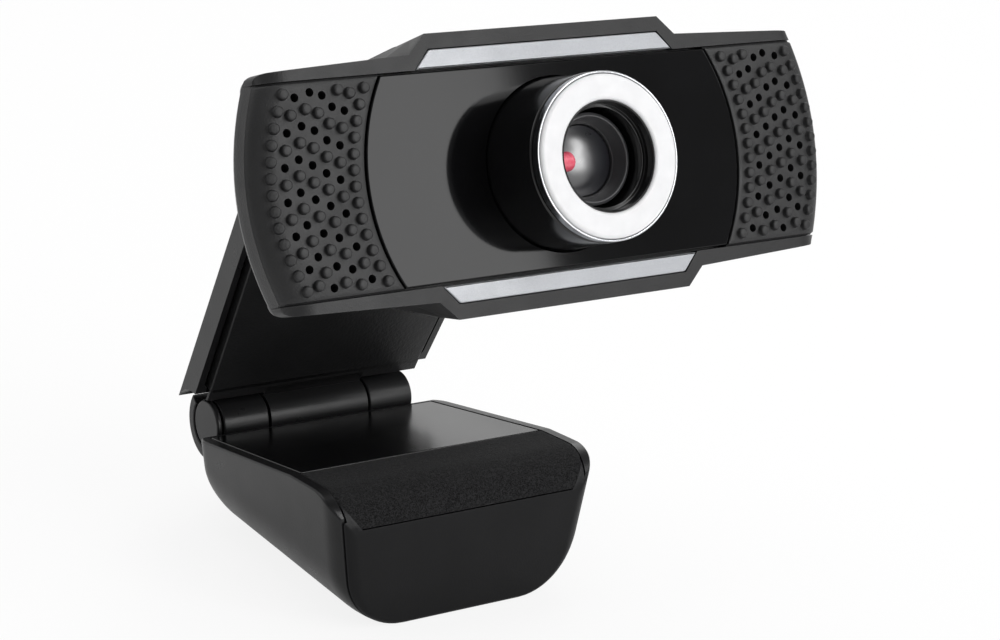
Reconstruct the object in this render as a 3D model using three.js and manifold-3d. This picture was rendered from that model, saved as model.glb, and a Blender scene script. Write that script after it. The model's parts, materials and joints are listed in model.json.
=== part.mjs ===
// A clip-on USB camera: a wide head on a swivel-and-tilt neck, a leaning clip arm and a folding foot.
// Millimetres. +X is the viewer's right, +Y is backwards, +Z is up, and the foot stands on Z = 0.
import * as THREE from 'three';
import { mergeVertices } from 'three/addons/utils/BufferGeometryUtils.js';
import Module from 'manifold-3d';

const wasm = await Module();
wasm.setup();

// ---------------------------------------------------------------- driving dimensions

// Gaps between pieces
const FIT_GAP = 0.3;
const TURN_GAP = 0.4;

// How far a cut runs past what it cuts, and how far joined blocks run into each other
const CUT_PAST = 1;
const JOIN_DEPTH = 0.5;

// How round things are made
const ROUND_SIDES = 24;
const LENS_SIDES = 40;
const SMALL_SIDES = 10;
const ARC_STEPS = 5;
const CORNER_STEPS = 3;
const EDGE_STEPS = 10;
const NOSE_STEPS = 7;
const RECESS_SIDES = 6;

// Rest pose: leans from the upright, in degrees
const ARM_LEAN = 26.7;
const HEAD_TILT = 21.4;

// Head front, seen from the front
const HEAD_HALF_WIDTH = 48.5;
const HEAD_SIDE_DRAFT = 0.6;
const HEAD_BACK_HALF_WIDTH = HEAD_HALF_WIDTH - HEAD_SIDE_DRAFT;
const HEAD_END_BULGE = 3.4;
const HEAD_END_HALF_HEIGHT = 16.1;
const HEAD_CORNER_RADIUS = 1.6;
const HEAD_EDGE_START_ANGLE = -82;
const HEAD_FRONT_BEND_RADIUS = 98;
const FLANGE_HALF_WIDTH = 19.8;
const FLANGE_HALF_HEIGHT = 19.6;
const SHOULDER_HALF_WIDTH = 22.6;
const SHOULDER_HALF_HEIGHT = 16.9;
const BEZEL_DEPTH = 7.5;
const FLANGE_BACK_HALF_HEIGHT = 18.8;
const SHOULDER_BACK_HALF_WIDTH = 25.5;
const HEAD_EDGE_RADIUS = 4;
const BEZEL_WALL = 1.8;

// Plates set in the bezel
const PLATE_THICKNESS = 2;
const WINDOW_HALF_HEIGHT = 14.7;
const GRILLE_WIDTH = 16.9;
const PANEL_HALF_WIDTH = HEAD_HALF_WIDTH - GRILLE_WIDTH;
const BEND_INSET = 1.6;
const HEAD_FLAT_HALF_WIDTH = PANEL_HALF_WIDTH - BEND_INSET;
const PANEL_ARC_SAGITTA = 4.1;
const TRIM_LONG_HALF_WIDTH = 22;
const TRIM_SHORT_HALF_WIDTH = 19.5;
const TRIM_HEIGHT = 2.8;
const TRIM_THICKNESS = 1;
const GRILLE_WRAP_DEPTH = 6;

// Sound holes of the grilles
const GRILLE_COLUMN_PITCH = 2.045;
const GRILLE_ROW_PITCH = 2.17;
const GRILLE_MARGIN = 1.95;
const GRILLE_COLUMNS = 7;
const GRILLE_ROWS = 13;
const SOUND_HOLE_RADIUS = 0.6;
const SOUND_HOLE_SIDES = 6;

// Lens barrel and focus ring
const BARREL_LENGTH = 10;
const BARREL_BASE_RADIUS = 12.2;
const BARREL_FRONT_RADIUS = 11.8;
const BARREL_BORE_RADIUS = 9;
const BARREL_FLANGE_RADIUS = 13.9;
const BARREL_FLANGE_THICKNESS = 1.5;
const RING_OUTER_RADIUS = 11.7;
const RING_BORE_RADIUS = 7.7;
const RING_STEP_RADIUS = 6.9;
const RING_STEP_DEPTH = 2.2;
const RING_FACE_THICKNESS = 1.7;
const RING_SLEEVE_LENGTH = 7;
const RING_EDGE = 0.5;

// Lens cell and its glass
const CELL_RADIUS = 6.45;
const CELL_RIM_RADIUS = 6;
const CELL_RIM_DEPTH = 4.4;
const CELL_LENGTH = 12;
const CELL_BORE_RADIUS = 4;
const CELL_REAR_BORE_RADIUS = 2.8;
const GLASS_RADIUS = 4.9;
const GLASS_SEAT_DEPTH = 7.1;
const GLASS_EDGE_THICKNESS = 1.6;
const GLASS_DOME_HEIGHT = 1.7;
const REAR_GLASS_RADIUS = 3.4;
const REAR_GLASS_THICKNESS = 1.5;
const LED_RADIUS = 1.4;
const LED_LENGTH = 2.8;
const LED_DEPTH = 4.5;
const LED_TIP_OFFSET = 3.1;

// Camera module inside the head
const HOLDER_WALL = 1.7;
const HOLDER_BASE_WIDTH = 21;
const HOLDER_BASE_THICKNESS = 2;
const SENSOR_WIDTH = 8;
const SENSOR_THICKNESS = 0.9;
const BOARD_DEPTH = 11.8;
const BOARD_THICKNESS = 1.6;
const BOARD_END_INSET = 17.5;
const BOARD_WIDTH = 2 * (HEAD_HALF_WIDTH - BOARD_END_INSET);
const BOARD_HEIGHT = 22;
const BOARD_SCREW_INSET = 4;
const BOARD_SCREW_X = BOARD_WIDTH / 2 - BOARD_SCREW_INSET;
const BOARD_SCREW_Z = 8;
const CONNECTOR_WIDTH = 9;
const CONNECTOR_HEIGHT = 5;
const CONNECTOR_DEPTH = 5;
const CONNECTOR_X = 18;
const MICROPHONE_INSET = 10;
const MICROPHONE_X = HEAD_HALF_WIDTH - MICROPHONE_INSET;
const MICROPHONE_RADIUS = 3;
const MICROPHONE_DEPTH = 2.4;

// Rear housing
const HOUSING_DEPTH = 24.3;
const HOUSING_WALL = 1.8;
const HOUSING_BACK_HALF_WIDTH = 21;
const HOUSING_BACK_HALF_HEIGHT = 12;
const HOUSING_BACK_SHOULDER = 14;
const HOUSING_BACK_FLANGE = 12;
const HOUSING_BEND_START = 1.6;
const HOUSING_BEND_END = 0.6;
const HOUSING_SHARES = [0, 0.35, 0.65, 0.87, 1];
const HOUSING_END_DROP = 1;
const HOUSING_SHOULDER_DROP = 0.5;
const HOUSING_SCREW_INSET = 12.5;
const HOUSING_SCREW_X = HEAD_HALF_WIDTH - HOUSING_SCREW_INSET;
const HOUSING_SCREW_Z = 8.5;
const HOUSING_SCREW_SEAT = 13;
const GROMMET_X = 15.5;
const GROMMET_NECK_RADIUS = 2.9;
const GROMMET_FLANGE_RADIUS = 4;
const GROMMET_FLANGE_THICKNESS = 1.3;
const GROMMET_TAPER = 0.6;
const CABLE_RADIUS = 1.8;

// Screws
const SCREW_RADIUS = 1;
const SCREW_HEAD_RADIUS = 1.9;
const SCREW_HEAD_HEIGHT = 1.2;
const SCREW_LENGTH = 6;
const SCREW_RECESS_RADIUS = 0.7;
const SCREW_RECESS_DEPTH = 0.7;
const BOSS_WALL = 1.3;
const SCREW_HOLE_RADIUS = SCREW_RADIUS + FIT_GAP;
const BOSS_RADIUS = SCREW_HOLE_RADIUS + BOSS_WALL;
const HEAD_POCKET_RADIUS = SCREW_HEAD_RADIUS + FIT_GAP;
const HEAD_BOSS_RADIUS = HEAD_POCKET_RADIUS + BOSS_WALL;

// Neck: the head swivels on it, and it tilts on the arm
const SWIVEL_DEPTH = 31;
const NECK_LENGTH = 11.6;
const NECK_HEIGHT = 6.5;
const NECK_EYE_RADIUS = 4.2;
const NECK_EYE_HEIGHT = 6.4;
const NECK_BARREL_RADIUS = 4.2;
const NECK_BARREL_LENGTH = 15;
const NECK_LINK_WIDTH = 7;
const BRACKET_PLATE_THICKNESS = 1.8;
const BRACKET_PLATE_HALF_WIDTH = 9.5;
const BRACKET_PLATE_HALF_HEIGHT = 9;
const BRACKET_LUG_THICKNESS = 2.4;
const SWIVEL_PIN_RADIUS = 1.5;
const SWIVEL_HOLE_RADIUS = SWIVEL_PIN_RADIUS + FIT_GAP;
const WASHER_THICKNESS = 0.5;
const WASHER_RADIUS = 3.4;

// Clip arm
const ARM_THICKNESS = 4.9;
const ARM_SETBACK = 1.1;
const ARM_FOOT_END_HALF_WIDTH = 21.8;
const ARM_HEAD_END_HALF_WIDTH = 23.2;
const ARM_PLATE_LENGTH = 51;
const ARM_TILT_AXIS = 56;
const ARM_WALL = 1;
const ARM_PLATE_THICKNESS = 2;
const ARM_PLATE_INSET = 2;
const ARM_RIM_DROP = 0.8;
const ARM_CORNER_CUT = 5.5;
const ARM_LUG_THICKNESS = 3.6;
const ARM_LUG_RADIUS = 4.2;
const ARM_LUG_ROOT = 8;
const ARM_SCREW_X = 12;
const ARM_SCREW_SHARES = [0.35, 0.8];
const TILT_PIN_RADIUS = 1.5;
const TILT_HOLE_RADIUS = TILT_PIN_RADIUS + FIT_GAP;

// Clip hinge between the arm and the foot, which carries it
const FOOT_WIDTH = 48.2;
const FOOT_HALF_WIDTH = FOOT_WIDTH / 2;
const HINGE_RADIUS = 4;
const HINGE_PIN_RADIUS = 1.5;
const HINGE_HOLE_RADIUS = HINGE_PIN_RADIUS + FIT_GAP;
const HINGE_END_INSET = 6.2;
const HINGE_HALF_LENGTH = FOOT_HALF_WIDTH - HINGE_END_INSET;
const HINGE_CENTRE_HALF_LENGTH = 9.2;
const HINGE_HEIGHT = 15.1;
const HINGE_CAP_THICKNESS = 1;
const GUARD_THICKNESS = 1.3;
const GUARD_FRONT_ANGLE = -150;
const GUARD_TOP_ANGLE = 32;
const GUARD_WINDOW_ANGLE = -28;
const GUARD_WINDOW_OVERRUN = 5;
const HINGE_WEB_MARGIN = 1;

// Foot
const FOOT_LENGTH = 46.5;
const FOOT_HINGE_Y = 49.5;
const FOOT_CORNER_RADIUS = 12;
const FOOT_END_RADIUS = 4;
const FOOT_SIDE_LEAN = 8.6;
const FOOT_HEEL_RADIUS = 7;
const FOOT_WALL = 1.8;
const TOP_BACK_Y = 44.6;
const TOP_BACK_HEIGHT = 15;
const TOP_FRONT_Y = 14;
const TOP_FRONT_HEIGHT = 21.3;
const TOP_PANEL_THICKNESS = 2;
const NOSE_RADIUS = 6.4;
const NOSE_CENTRE_HEIGHT = 15.6;
const NOSE_BACK_ANGLE = 84;
const NOSE_WALL = 2.2;
const NOSE_FACE_DEPTH = 1;
const PAD_THICKNESS = 1;
const PAD_FRONT_ANGLE = 166;
const TRIPOD_HOLE_RADIUS = 3;
const TRIPOD_INSERT_RADIUS = 5;
const TRIPOD_INSERT_HEIGHT = 8;
const TRIPOD_INSERT_Y = 26;
const TRIPOD_INSERT_RECESS = 0.2;
const FOOT_SCREW_INSET = 11.1;
const FOOT_SCREW_X = FOOT_HALF_WIDTH - FOOT_SCREW_INSET;
const FOOT_SCREW_FRONT_Y = 9;
const FOOT_SCREW_BACK_Y = 36;
const FOOT_SCREW_SINK = 2.4;

// ---------------------------------------------------------------- materials

function paint(color, roughness, metalness = 0) {
  return new THREE.MeshStandardMaterial({ color, roughness, metalness, flatShading: true });
}

const MATERIALS = {
  mattBlack: () => paint(0x26262a, 0.6),
  satinBlack: () => paint(0x1d1d20, 0.4),
  glossBlack: () => paint(0x08080a, 0.06),
  silver: () => paint(0xc8cbd4, 0.4, 0.3),
  ringWhite: () => paint(0xf2f2f4, 0.3),
  steel: () => paint(0x9b9ea3, 0.35, 1),
  brass: () => paint(0xb58a3c, 0.35, 1),
  glass: () => paint(0x30323a, 0.03),
  led: () => paint(0xe8475f, 0.3),
  board: () => paint(0x1f5a33, 0.55),
  chip: () => paint(0x2d2d33, 0.35),
  rubber: () => paint(0x17171a, 0.8),
  felt: () => paint(0x1b1b1d, 0.95),
};

// ---------------------------------------------------------------- solid modelling helpers

const radians = THREE.MathUtils.degToRad;

function signedVolume(positions, index) {
  const corners = [new THREE.Vector3(), new THREE.Vector3(), new THREE.Vector3()];
  let volume = 0;
  for (let i = 0; i < index.length; i += 3) {
    corners.forEach((corner, k) => corner.fromArray(positions, 3 * index[i + k]));
    volume += corners[0].dot(corners[1].cross(corners[2])) / 6;
  }
  return volume;
}

// A closed geometry as a manifold solid with its faces pointing out.
function toSolid(geometry) {
  const bare = geometry.clone();
  bare.deleteAttribute('normal');
  bare.deleteAttribute('uv');
  const merged = mergeVertices(bare, 1e-4);
  const positions = new Float32Array(merged.attributes.position.array);
  const index = new Uint32Array(merged.index.array);
  if (signedVolume(positions, index) < 0) index.reverse();
  return new wasm.Manifold(new wasm.Mesh({ numProp: 3, vertProperties: positions, triVerts: index }));
}

function toGeometry(solid) {
  const mesh = solid.getMesh();
  const geometry = new THREE.BufferGeometry();
  geometry.setAttribute('position', new THREE.BufferAttribute(new Float32Array(mesh.vertProperties), 3));
  geometry.setIndex(new THREE.BufferAttribute(new Uint32Array(mesh.triVerts), 1));
  geometry.computeVertexNormals();
  return geometry;
}

function extrude(points, length) {
  const shape = new THREE.Shape(points.map(([a, b]) => new THREE.Vector2(a, b)));
  return new THREE.ExtrudeGeometry(shape, { depth: length, bevelEnabled: false });
}

// Prism of an outline of [y, z] points, from x0 to x1.
function prismX(points, x0, x1) {
  const turn = new THREE.Matrix4().set(0, 0, 1, x0, 1, 0, 0, 0, 0, 1, 0, 0, 0, 0, 0, 1);
  return toSolid(extrude(points, x1 - x0).applyMatrix4(turn));
}

// Prism of an outline of [x, z] points, from y0 to y1.
function prismY(points, y0, y1) {
  const turn = new THREE.Matrix4().set(1, 0, 0, 0, 0, 0, -1, y1, 0, 1, 0, 0, 0, 0, 0, 1);
  return toSolid(extrude(points, y1 - y0).applyMatrix4(turn));
}

// Prism of an outline of [x, y] points, from z0 to z1.
function prismZ(points, z0, z1) {
  return toSolid(extrude(points, z1 - z0).translate(0, 0, z0));
}

function box(x0, x1, y0, y1, z0, z1) {
  const geometry = new THREE.BoxGeometry(x1 - x0, y1 - y0, z1 - z0);
  return toSolid(geometry.translate((x0 + x1) / 2, (y0 + y1) / 2, (z0 + z1) / 2));
}

// Cylinders along each axis. A polygon's corners lie on the radius.
function cylinderX(radius, x0, x1, y, z, sides = ROUND_SIDES) {
  const geometry = new THREE.CylinderGeometry(radius, radius, x1 - x0, sides);
  return toSolid(geometry.rotateZ(Math.PI / 2).translate((x0 + x1) / 2, y, z));
}

function cylinderY(radius, y0, y1, x, z, sides = ROUND_SIDES) {
  const geometry = new THREE.CylinderGeometry(radius, radius, y1 - y0, sides);
  return toSolid(geometry.translate(x, (y0 + y1) / 2, z));
}

function cylinderZ(radius, z0, z1, x, y, sides = ROUND_SIDES) {
  const geometry = new THREE.CylinderGeometry(radius, radius, z1 - z0, sides);
  return toSolid(geometry.rotateX(Math.PI / 2).translate(x, y, (z0 + z1) / 2));
}

// A turned solid about the Y axis, from a closed profile of [radius, y] points.
function turned(profile, sides = ROUND_SIDES) {
  const points = profile.map(([radius, y]) => new THREE.Vector2(radius, y));
  if (profile.every(([radius]) => radius > 0)) points.push(points[0].clone());
  return toSolid(new THREE.LatheGeometry(points, sides));
}

// Points of a circular arc, angles in degrees.
function arc(a, b, radius, fromAngle, toAngle, steps = ARC_STEPS) {
  return Array.from({ length: steps + 1 }, (_, k) => {
    const angle = radians(fromAngle + ((toAngle - fromAngle) * k) / steps);
    return [a + radius * Math.cos(angle), b + radius * Math.sin(angle)];
  });
}

// A solid through clockwise outlines of [x, z] points, each at its own y, all with the same point count.
function loft(sections) {
  const count = sections[0].points.length;
  const positions = sections.flatMap(({ y, points }) => points.flatMap(([x, z]) => [x, y, z]));
  const index = [];
  for (let s = 0; s + 1 < sections.length; s += 1) {
    for (let k = 0; k < count; k += 1) {
      const next = (k + 1) % count;
      const near = s * count;
      const far = near + count;
      index.push(near + k, near + next, far + next, near + k, far + next, far + k);
    }
  }
  const last = (sections.length - 1) * count;
  const flat = (section) => section.points.map(([x, z]) => new THREE.Vector2(x, z));
  THREE.ShapeUtils.triangulateShape(flat(sections[0]), []).forEach(([a, b, c]) => index.push(a, b, c));
  THREE.ShapeUtils.triangulateShape(flat(sections.at(-1)), [])
    .forEach(([a, b, c]) => index.push(last + c, last + b, last + a));
  const geometry = new THREE.BufferGeometry();
  geometry.setAttribute('position', new THREE.Float32BufferAttribute(positions, 3));
  geometry.setIndex(index);
  return toSolid(geometry);
}

const mirrored = (points) => points.map(([a, b]) => [-a, b]).reverse();

const flipped = (points) => points.map(([a, b]) => [a, -b]).reverse();

function joined(solids) {
  return solids.reduce((sum, solid) => sum.add(solid));
}

// Small round pieces along Y or Z, one at each spot.
function pegsY(radius, y0, y1, spots, sides = SMALL_SIDES) {
  return joined(spots.map(([x, z]) => cylinderY(radius, y0, y1, x, z, sides)));
}

function pegsZ(radius, z0, z1, spots) {
  return joined(spots.map(([x, y]) => cylinderZ(radius, z0, z1, x, y, SMALL_SIDES)));
}

// The two ends of a span from near to far on one side of the middle, in rising order.
function span(side, near, far) {
  return side > 0 ? [near, far] : [-far, -near];
}

const bothSides = [-1, 1];

// The four spots at plus and minus x and z.
const fourSpots = (x, z) => bothSides.flatMap((side) => bothSides.map((end) => [side * x, end * z]));

function place(group, name, solid, material) {
  const mesh = new THREE.Mesh(toGeometry(solid), material());
  mesh.name = name;
  group.add(mesh);
}

// A screw that points along -Y: its head seats at y = 0 and its shank runs to y = -length.
function screwSolid(length) {
  const shank = cylinderY(SCREW_RADIUS, -length, SCREW_HEAD_HEIGHT - SCREW_RECESS_DEPTH, 0, 0, SMALL_SIDES);
  const head = cylinderY(SCREW_HEAD_RADIUS, 0, SCREW_HEAD_HEIGHT, 0, 0, SMALL_SIDES);
  const recessBottom = SCREW_HEAD_HEIGHT - SCREW_RECESS_DEPTH;
  const recess = cylinderY(
    SCREW_RECESS_RADIUS, recessBottom, SCREW_HEAD_HEIGHT + CUT_PAST, 0, 0, RECESS_SIDES,
  );
  return shank.add(head).subtract(recess);
}

// ---------------------------------------------------------------- head outlines

// Half of a head outline, from the top centre clockwise to the bottom centre, closed by its mirror.
function headOutline({ halfWidth, bulge, endHalfHeight, corner, shoulder, flange }) {
  const endX = (z) => halfWidth - bulge * (z / endHalfHeight) ** 2;
  const cornerX = endX(endHalfHeight - corner) - corner;
  const cornerZ = endHalfHeight - corner;
  const upper = [
    flange,
    shoulder,
    ...arc(cornerX, cornerZ, corner, 90, 0, CORNER_STEPS),
    [endX(endHalfHeight / 2), endHalfHeight / 2],
  ];
  const right = [...upper, [halfWidth, 0], ...flipped(upper)];
  return [...right, ...mirrored(right)];
}

function bezelSection(back) {
  return headOutline({
    halfWidth: back ? HEAD_BACK_HALF_WIDTH : HEAD_HALF_WIDTH,
    bulge: HEAD_END_BULGE,
    endHalfHeight: HEAD_END_HALF_HEIGHT,
    corner: HEAD_CORNER_RADIUS,
    shoulder: [back ? SHOULDER_BACK_HALF_WIDTH : SHOULDER_HALF_WIDTH, SHOULDER_HALF_HEIGHT],
    flange: [FLANGE_HALF_WIDTH, back ? FLANGE_BACK_HALF_HEIGHT : FLANGE_HALF_HEIGHT],
  });
}

// How far the head's front bends back at x.
const frontBend = (x) => Math.max(0, x - HEAD_FLAT_HALF_WIDTH) ** 2 / (2 * HEAD_FRONT_BEND_RADIUS);

// The head's outline from above, bent back and rounded at the ends, moved in by an inset.
function planOutline(inset, depth) {
  const radius = HEAD_EDGE_RADIUS - inset;
  const endX = HEAD_HALF_WIDTH - HEAD_EDGE_RADIUS;
  const middleX = (HEAD_FLAT_HALF_WIDTH + endX) / 2;
  const right = [
    [HEAD_FLAT_HALF_WIDTH, inset],
    [middleX, inset + frontBend(middleX)],
    ...arc(endX, HEAD_EDGE_RADIUS + frontBend(endX), radius, HEAD_EDGE_START_ANGLE, 0),
    [HEAD_HALF_WIDTH - inset, depth],
  ];
  return [...mirrored(right), ...right];
}

const FLOOR_FRONT = PLATE_THICKNESS + FIT_GAP;
const FLOOR_BACK = FLOOR_FRONT + BEZEL_WALL;

// Curved side edge of the centre panel at height z.
function panelEdgeX(z) {
  const radius = (WINDOW_HALF_HEIGHT ** 2 + PANEL_ARC_SAGITTA ** 2) / (2 * PANEL_ARC_SAGITTA);
  return PANEL_HALF_WIDTH - radius + Math.sqrt(radius ** 2 - z ** 2);
}

function panelEdge(halfHeight, offset) {
  return Array.from({ length: EDGE_STEPS + 1 }, (_, k) => {
    const z = halfHeight - (2 * halfHeight * k) / EDGE_STEPS;
    return [panelEdgeX(z) + offset, z];
  });
}

// ---------------------------------------------------------------- head: front

function trimOutline(inset) {
  const low = WINDOW_HALF_HEIGHT + inset;
  const high = WINDOW_HALF_HEIGHT + TRIM_HEIGHT - inset;
  return [
    [-TRIM_LONG_HALF_WIDTH + 2 * inset, low],
    [TRIM_LONG_HALF_WIDTH - 2 * inset, low],
    [TRIM_SHORT_HALF_WIDTH - inset, high],
    [-TRIM_SHORT_HALF_WIDTH + inset, high],
  ];
}

function bezelSolid() {
  const outside = loft([
    { y: 0, points: bezelSection(false) },
    { y: BEZEL_DEPTH, points: bezelSection(true) },
  ]);
  const reach = FLANGE_HALF_HEIGHT + CUT_PAST;
  const plan = prismZ(planOutline(0, BEZEL_DEPTH), -reach, reach);
  const far = HEAD_HALF_WIDTH + CUT_PAST;
  const window = box(-far, far, -CUT_PAST, GRILLE_WRAP_DEPTH, -WINDOW_HALF_HEIGHT, WINDOW_HALF_HEIGHT);
  const core = prismZ(planOutline(FLOOR_FRONT, BEZEL_DEPTH), -reach, reach);
  const cavityHalfWidth = HEAD_HALF_WIDTH - HEAD_EDGE_RADIUS - HEAD_END_BULGE;
  const cavityHalfHeight = WINDOW_HALF_HEIGHT - FIT_GAP;
  const cavity = box(
    -cavityHalfWidth, cavityHalfWidth, FLOOR_BACK, BEZEL_DEPTH + CUT_PAST,
    -cavityHalfHeight, cavityHalfHeight,
  );
  const pockets = [trimOutline(0), flipped(trimOutline(0))].map((outline) => (
    prismY(outline, -CUT_PAST, TRIM_THICKNESS + FIT_GAP)));
  const barrelHole = cylinderY(BARREL_BASE_RADIUS + FIT_GAP, 0, BEZEL_DEPTH, 0, 0);
  const microphoneSpots = bothSides.map((side) => [side * MICROPHONE_X, 0]);
  const microphoneHoles = pegsY(MICROPHONE_RADIUS + FIT_GAP, 0, BEZEL_DEPTH, microphoneSpots);
  return outside.intersect(plan).subtract(window.subtract(core)).subtract(cavity)
    .subtract(joined([...pockets, barrelHole, microphoneHoles]))
    .add(bezelBosses()).subtract(bezelBossHoles());
}

const boardScrewSpots = fourSpots(BOARD_SCREW_X, BOARD_SCREW_Z);
const housingScrewSpots = fourSpots(HOUSING_SCREW_X, HOUSING_SCREW_Z);

function bezelBosses() {
  const start = FLOOR_BACK - BEZEL_WALL / 2;
  const board = pegsY(BOSS_RADIUS, start, BOARD_DEPTH - FIT_GAP, boardScrewSpots);
  const housing = pegsY(BOSS_RADIUS, start, HOUSING_SCREW_SEAT - BEZEL_WALL - FIT_GAP, housingScrewSpots);
  return board.add(housing);
}

function bezelBossHoles() {
  return pegsY(SCREW_HOLE_RADIUS, FLOOR_BACK, HOUSING_SCREW_SEAT, [...boardScrewSpots, ...housingScrewSpots]);
}

function centrePanelSolid() {
  const halfHeight = WINDOW_HALF_HEIGHT - FIT_GAP;
  const right = panelEdge(halfHeight, -FIT_GAP / 2);
  const plate = prismY([...right, ...mirrored(right)], 0, PLATE_THICKNESS);
  return plate.subtract(cylinderY(BARREL_BASE_RADIUS + FIT_GAP, -CUT_PAST, PLATE_THICKNESS + CUT_PAST, 0, 0));
}

// Places of the sound holes in the right grille: every other spot of the inner columns.
// Odd columns have one row less and start a quarter of a pitch lower.
function soundHoleSpots() {
  const spots = [];
  const halfHeight = (GRILLE_ROWS - 1) / 2 * GRILLE_ROW_PITCH;
  for (let column = 1; column < GRILLE_COLUMNS - 1; column += 1) {
    const rows = GRILLE_ROWS - (column % 2);
    const top = halfHeight - (column % 2) * GRILLE_ROW_PITCH / 4;
    const firstHole = column < GRILLE_COLUMNS / 2 - 1 ? 1 : 0;
    for (let row = firstHole; row < rows; row += 2) {
      const z = top * (1 - 2 * row / (rows - 1));
      spots.push([panelEdgeX(z) + GRILLE_MARGIN + GRILLE_COLUMN_PITCH * column, z]);
    }
  }
  return spots;
}

function grilleSolid(side) {
  const halfHeight = WINDOW_HALF_HEIGHT - FIT_GAP;
  const far = HEAD_HALF_WIDTH + CUT_PAST;
  const outline = [...panelEdge(halfHeight, FIT_GAP / 2), [far, -halfHeight], [far, halfHeight]];
  const reach = halfHeight + CUT_PAST;
  const back = BEZEL_DEPTH + CUT_PAST;
  const shell = prismZ(planOutline(0, BEZEL_DEPTH), -reach, reach)
    .subtract(prismZ(planOutline(PLATE_THICKNESS, back), -reach - CUT_PAST, reach + CUT_PAST));
  const ends = loft([-CUT_PAST, BEZEL_DEPTH].map((y) => ({ y, points: bezelSection(false) })));
  const holes = pegsY(
    SOUND_HOLE_RADIUS, -CUT_PAST, PLATE_THICKNESS + CUT_PAST, soundHoleSpots(), SOUND_HOLE_SIDES,
  );
  const solid = prismY(outline, -CUT_PAST, GRILLE_WRAP_DEPTH - FIT_GAP)
    .intersect(shell).intersect(ends).subtract(holes);
  return side > 0 ? solid : solid.mirror([1, 0, 0]);
}

function addHeadFront(head) {
  place(head, 'front_bezel', bezelSolid(), MATERIALS.mattBlack);
  place(head, 'center_panel', centrePanelSolid(), MATERIALS.glossBlack);
  place(head, 'grille_left', grilleSolid(-1), MATERIALS.mattBlack);
  place(head, 'grille_right', grilleSolid(1), MATERIALS.mattBlack);
  const strip = trimOutline(FIT_GAP);
  place(head, 'trim_strip_top', prismY(strip, 0, TRIM_THICKNESS), MATERIALS.silver);
  place(head, 'trim_strip_bottom', prismY(flipped(strip), 0, TRIM_THICKNESS), MATERIALS.silver);
}

// ---------------------------------------------------------------- head: lens

const RING_BACK = -BARREL_LENGTH - FIT_GAP;
const RING_FRONT = RING_BACK - RING_FACE_THICKNESS;

function lensBarrelSolid() {
  const flangeFront = FLOOR_BACK + FIT_GAP;
  return turned([
    [BARREL_BORE_RADIUS, -BARREL_LENGTH],
    [BARREL_FRONT_RADIUS, -BARREL_LENGTH],
    [BARREL_BASE_RADIUS, 0],
    [BARREL_BASE_RADIUS, flangeFront],
    [BARREL_FLANGE_RADIUS, flangeFront],
    [BARREL_FLANGE_RADIUS, flangeFront + BARREL_FLANGE_THICKNESS],
    [BARREL_BORE_RADIUS, flangeFront + BARREL_FLANGE_THICKNESS],
  ], LENS_SIDES);
}

function focusRingSolid() {
  const sleeve = BARREL_BORE_RADIUS - TURN_GAP;
  return turned([
    [RING_BORE_RADIUS, RING_FRONT],
    [RING_OUTER_RADIUS - RING_EDGE, RING_FRONT],
    [RING_OUTER_RADIUS, RING_FRONT + RING_EDGE],
    [RING_OUTER_RADIUS, RING_BACK],
    [sleeve, RING_BACK],
    [sleeve, RING_FRONT + RING_FACE_THICKNESS + RING_SLEEVE_LENGTH],
    [RING_STEP_RADIUS, RING_FRONT + RING_FACE_THICKNESS + RING_SLEEVE_LENGTH],
    [RING_STEP_RADIUS, RING_FRONT + RING_STEP_DEPTH],
    [RING_BORE_RADIUS, RING_FRONT + RING_STEP_DEPTH],
  ], LENS_SIDES);
}

const CELL_FRONT = RING_FRONT + CELL_RIM_DEPTH;
const GLASS_SEAT = RING_FRONT + GLASS_SEAT_DEPTH;
const GLASS_POCKET_RADIUS = GLASS_RADIUS + FIT_GAP;

function ledSolid(extra) {
  const length = LED_LENGTH + extra;
  const radius = LED_RADIUS + extra;
  const tip = -LED_TIP_OFFSET + extra;
  return cylinderX(radius, tip - length, tip, RING_FRONT + LED_DEPTH, 0, SMALL_SIDES);
}

function lensCellSolid() {
  const rearPocket = REAR_GLASS_RADIUS + FIT_GAP;
  const back = CELL_FRONT + CELL_LENGTH;
  const seat = GLASS_SEAT + GLASS_EDGE_THICKNESS + FIT_GAP;
  const body = turned([
    [CELL_RIM_RADIUS, CELL_FRONT],
    [CELL_RADIUS, CELL_FRONT],
    [CELL_RADIUS, back],
    [rearPocket, back],
    [rearPocket, back - REAR_GLASS_THICKNESS - FIT_GAP],
    [CELL_REAR_BORE_RADIUS, back - REAR_GLASS_THICKNESS - FIT_GAP],
    [CELL_BORE_RADIUS, seat],
    [GLASS_POCKET_RADIUS, seat],
    [GLASS_POCKET_RADIUS, GLASS_SEAT],
  ]);
  return body.subtract(ledSolid(FIT_GAP));
}

function frontGlassSolid() {
  const dome = Array.from({ length: ARC_STEPS + 1 }, (_, k) => {
    const radius = (GLASS_RADIUS * k) / ARC_STEPS;
    return [radius, GLASS_SEAT - GLASS_DOME_HEIGHT * (1 - (k / ARC_STEPS) ** 2)];
  });
  const back = GLASS_SEAT + GLASS_EDGE_THICKNESS;
  return turned([...dome, [GLASS_RADIUS, back], [0, back]]).subtract(ledSolid(FIT_GAP));
}

function rearGlassSolid() {
  const back = CELL_FRONT + CELL_LENGTH;
  return cylinderY(REAR_GLASS_RADIUS, back - REAR_GLASS_THICKNESS, back, 0, 0);
}

function addLens(head) {
  place(head, 'lens_barrel', lensBarrelSolid(), MATERIALS.satinBlack);
  place(head, 'focus_ring', focusRingSolid(), MATERIALS.ringWhite);
  place(head, 'lens_cell', lensCellSolid(), MATERIALS.satinBlack);
  place(head, 'lens_front_glass', frontGlassSolid(), MATERIALS.glass);
  place(head, 'lens_rear_glass', rearGlassSolid(), MATERIALS.glass);
  place(head, 'activity_led', ledSolid(0), MATERIALS.led);
}

// ---------------------------------------------------------------- head: camera module

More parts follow.
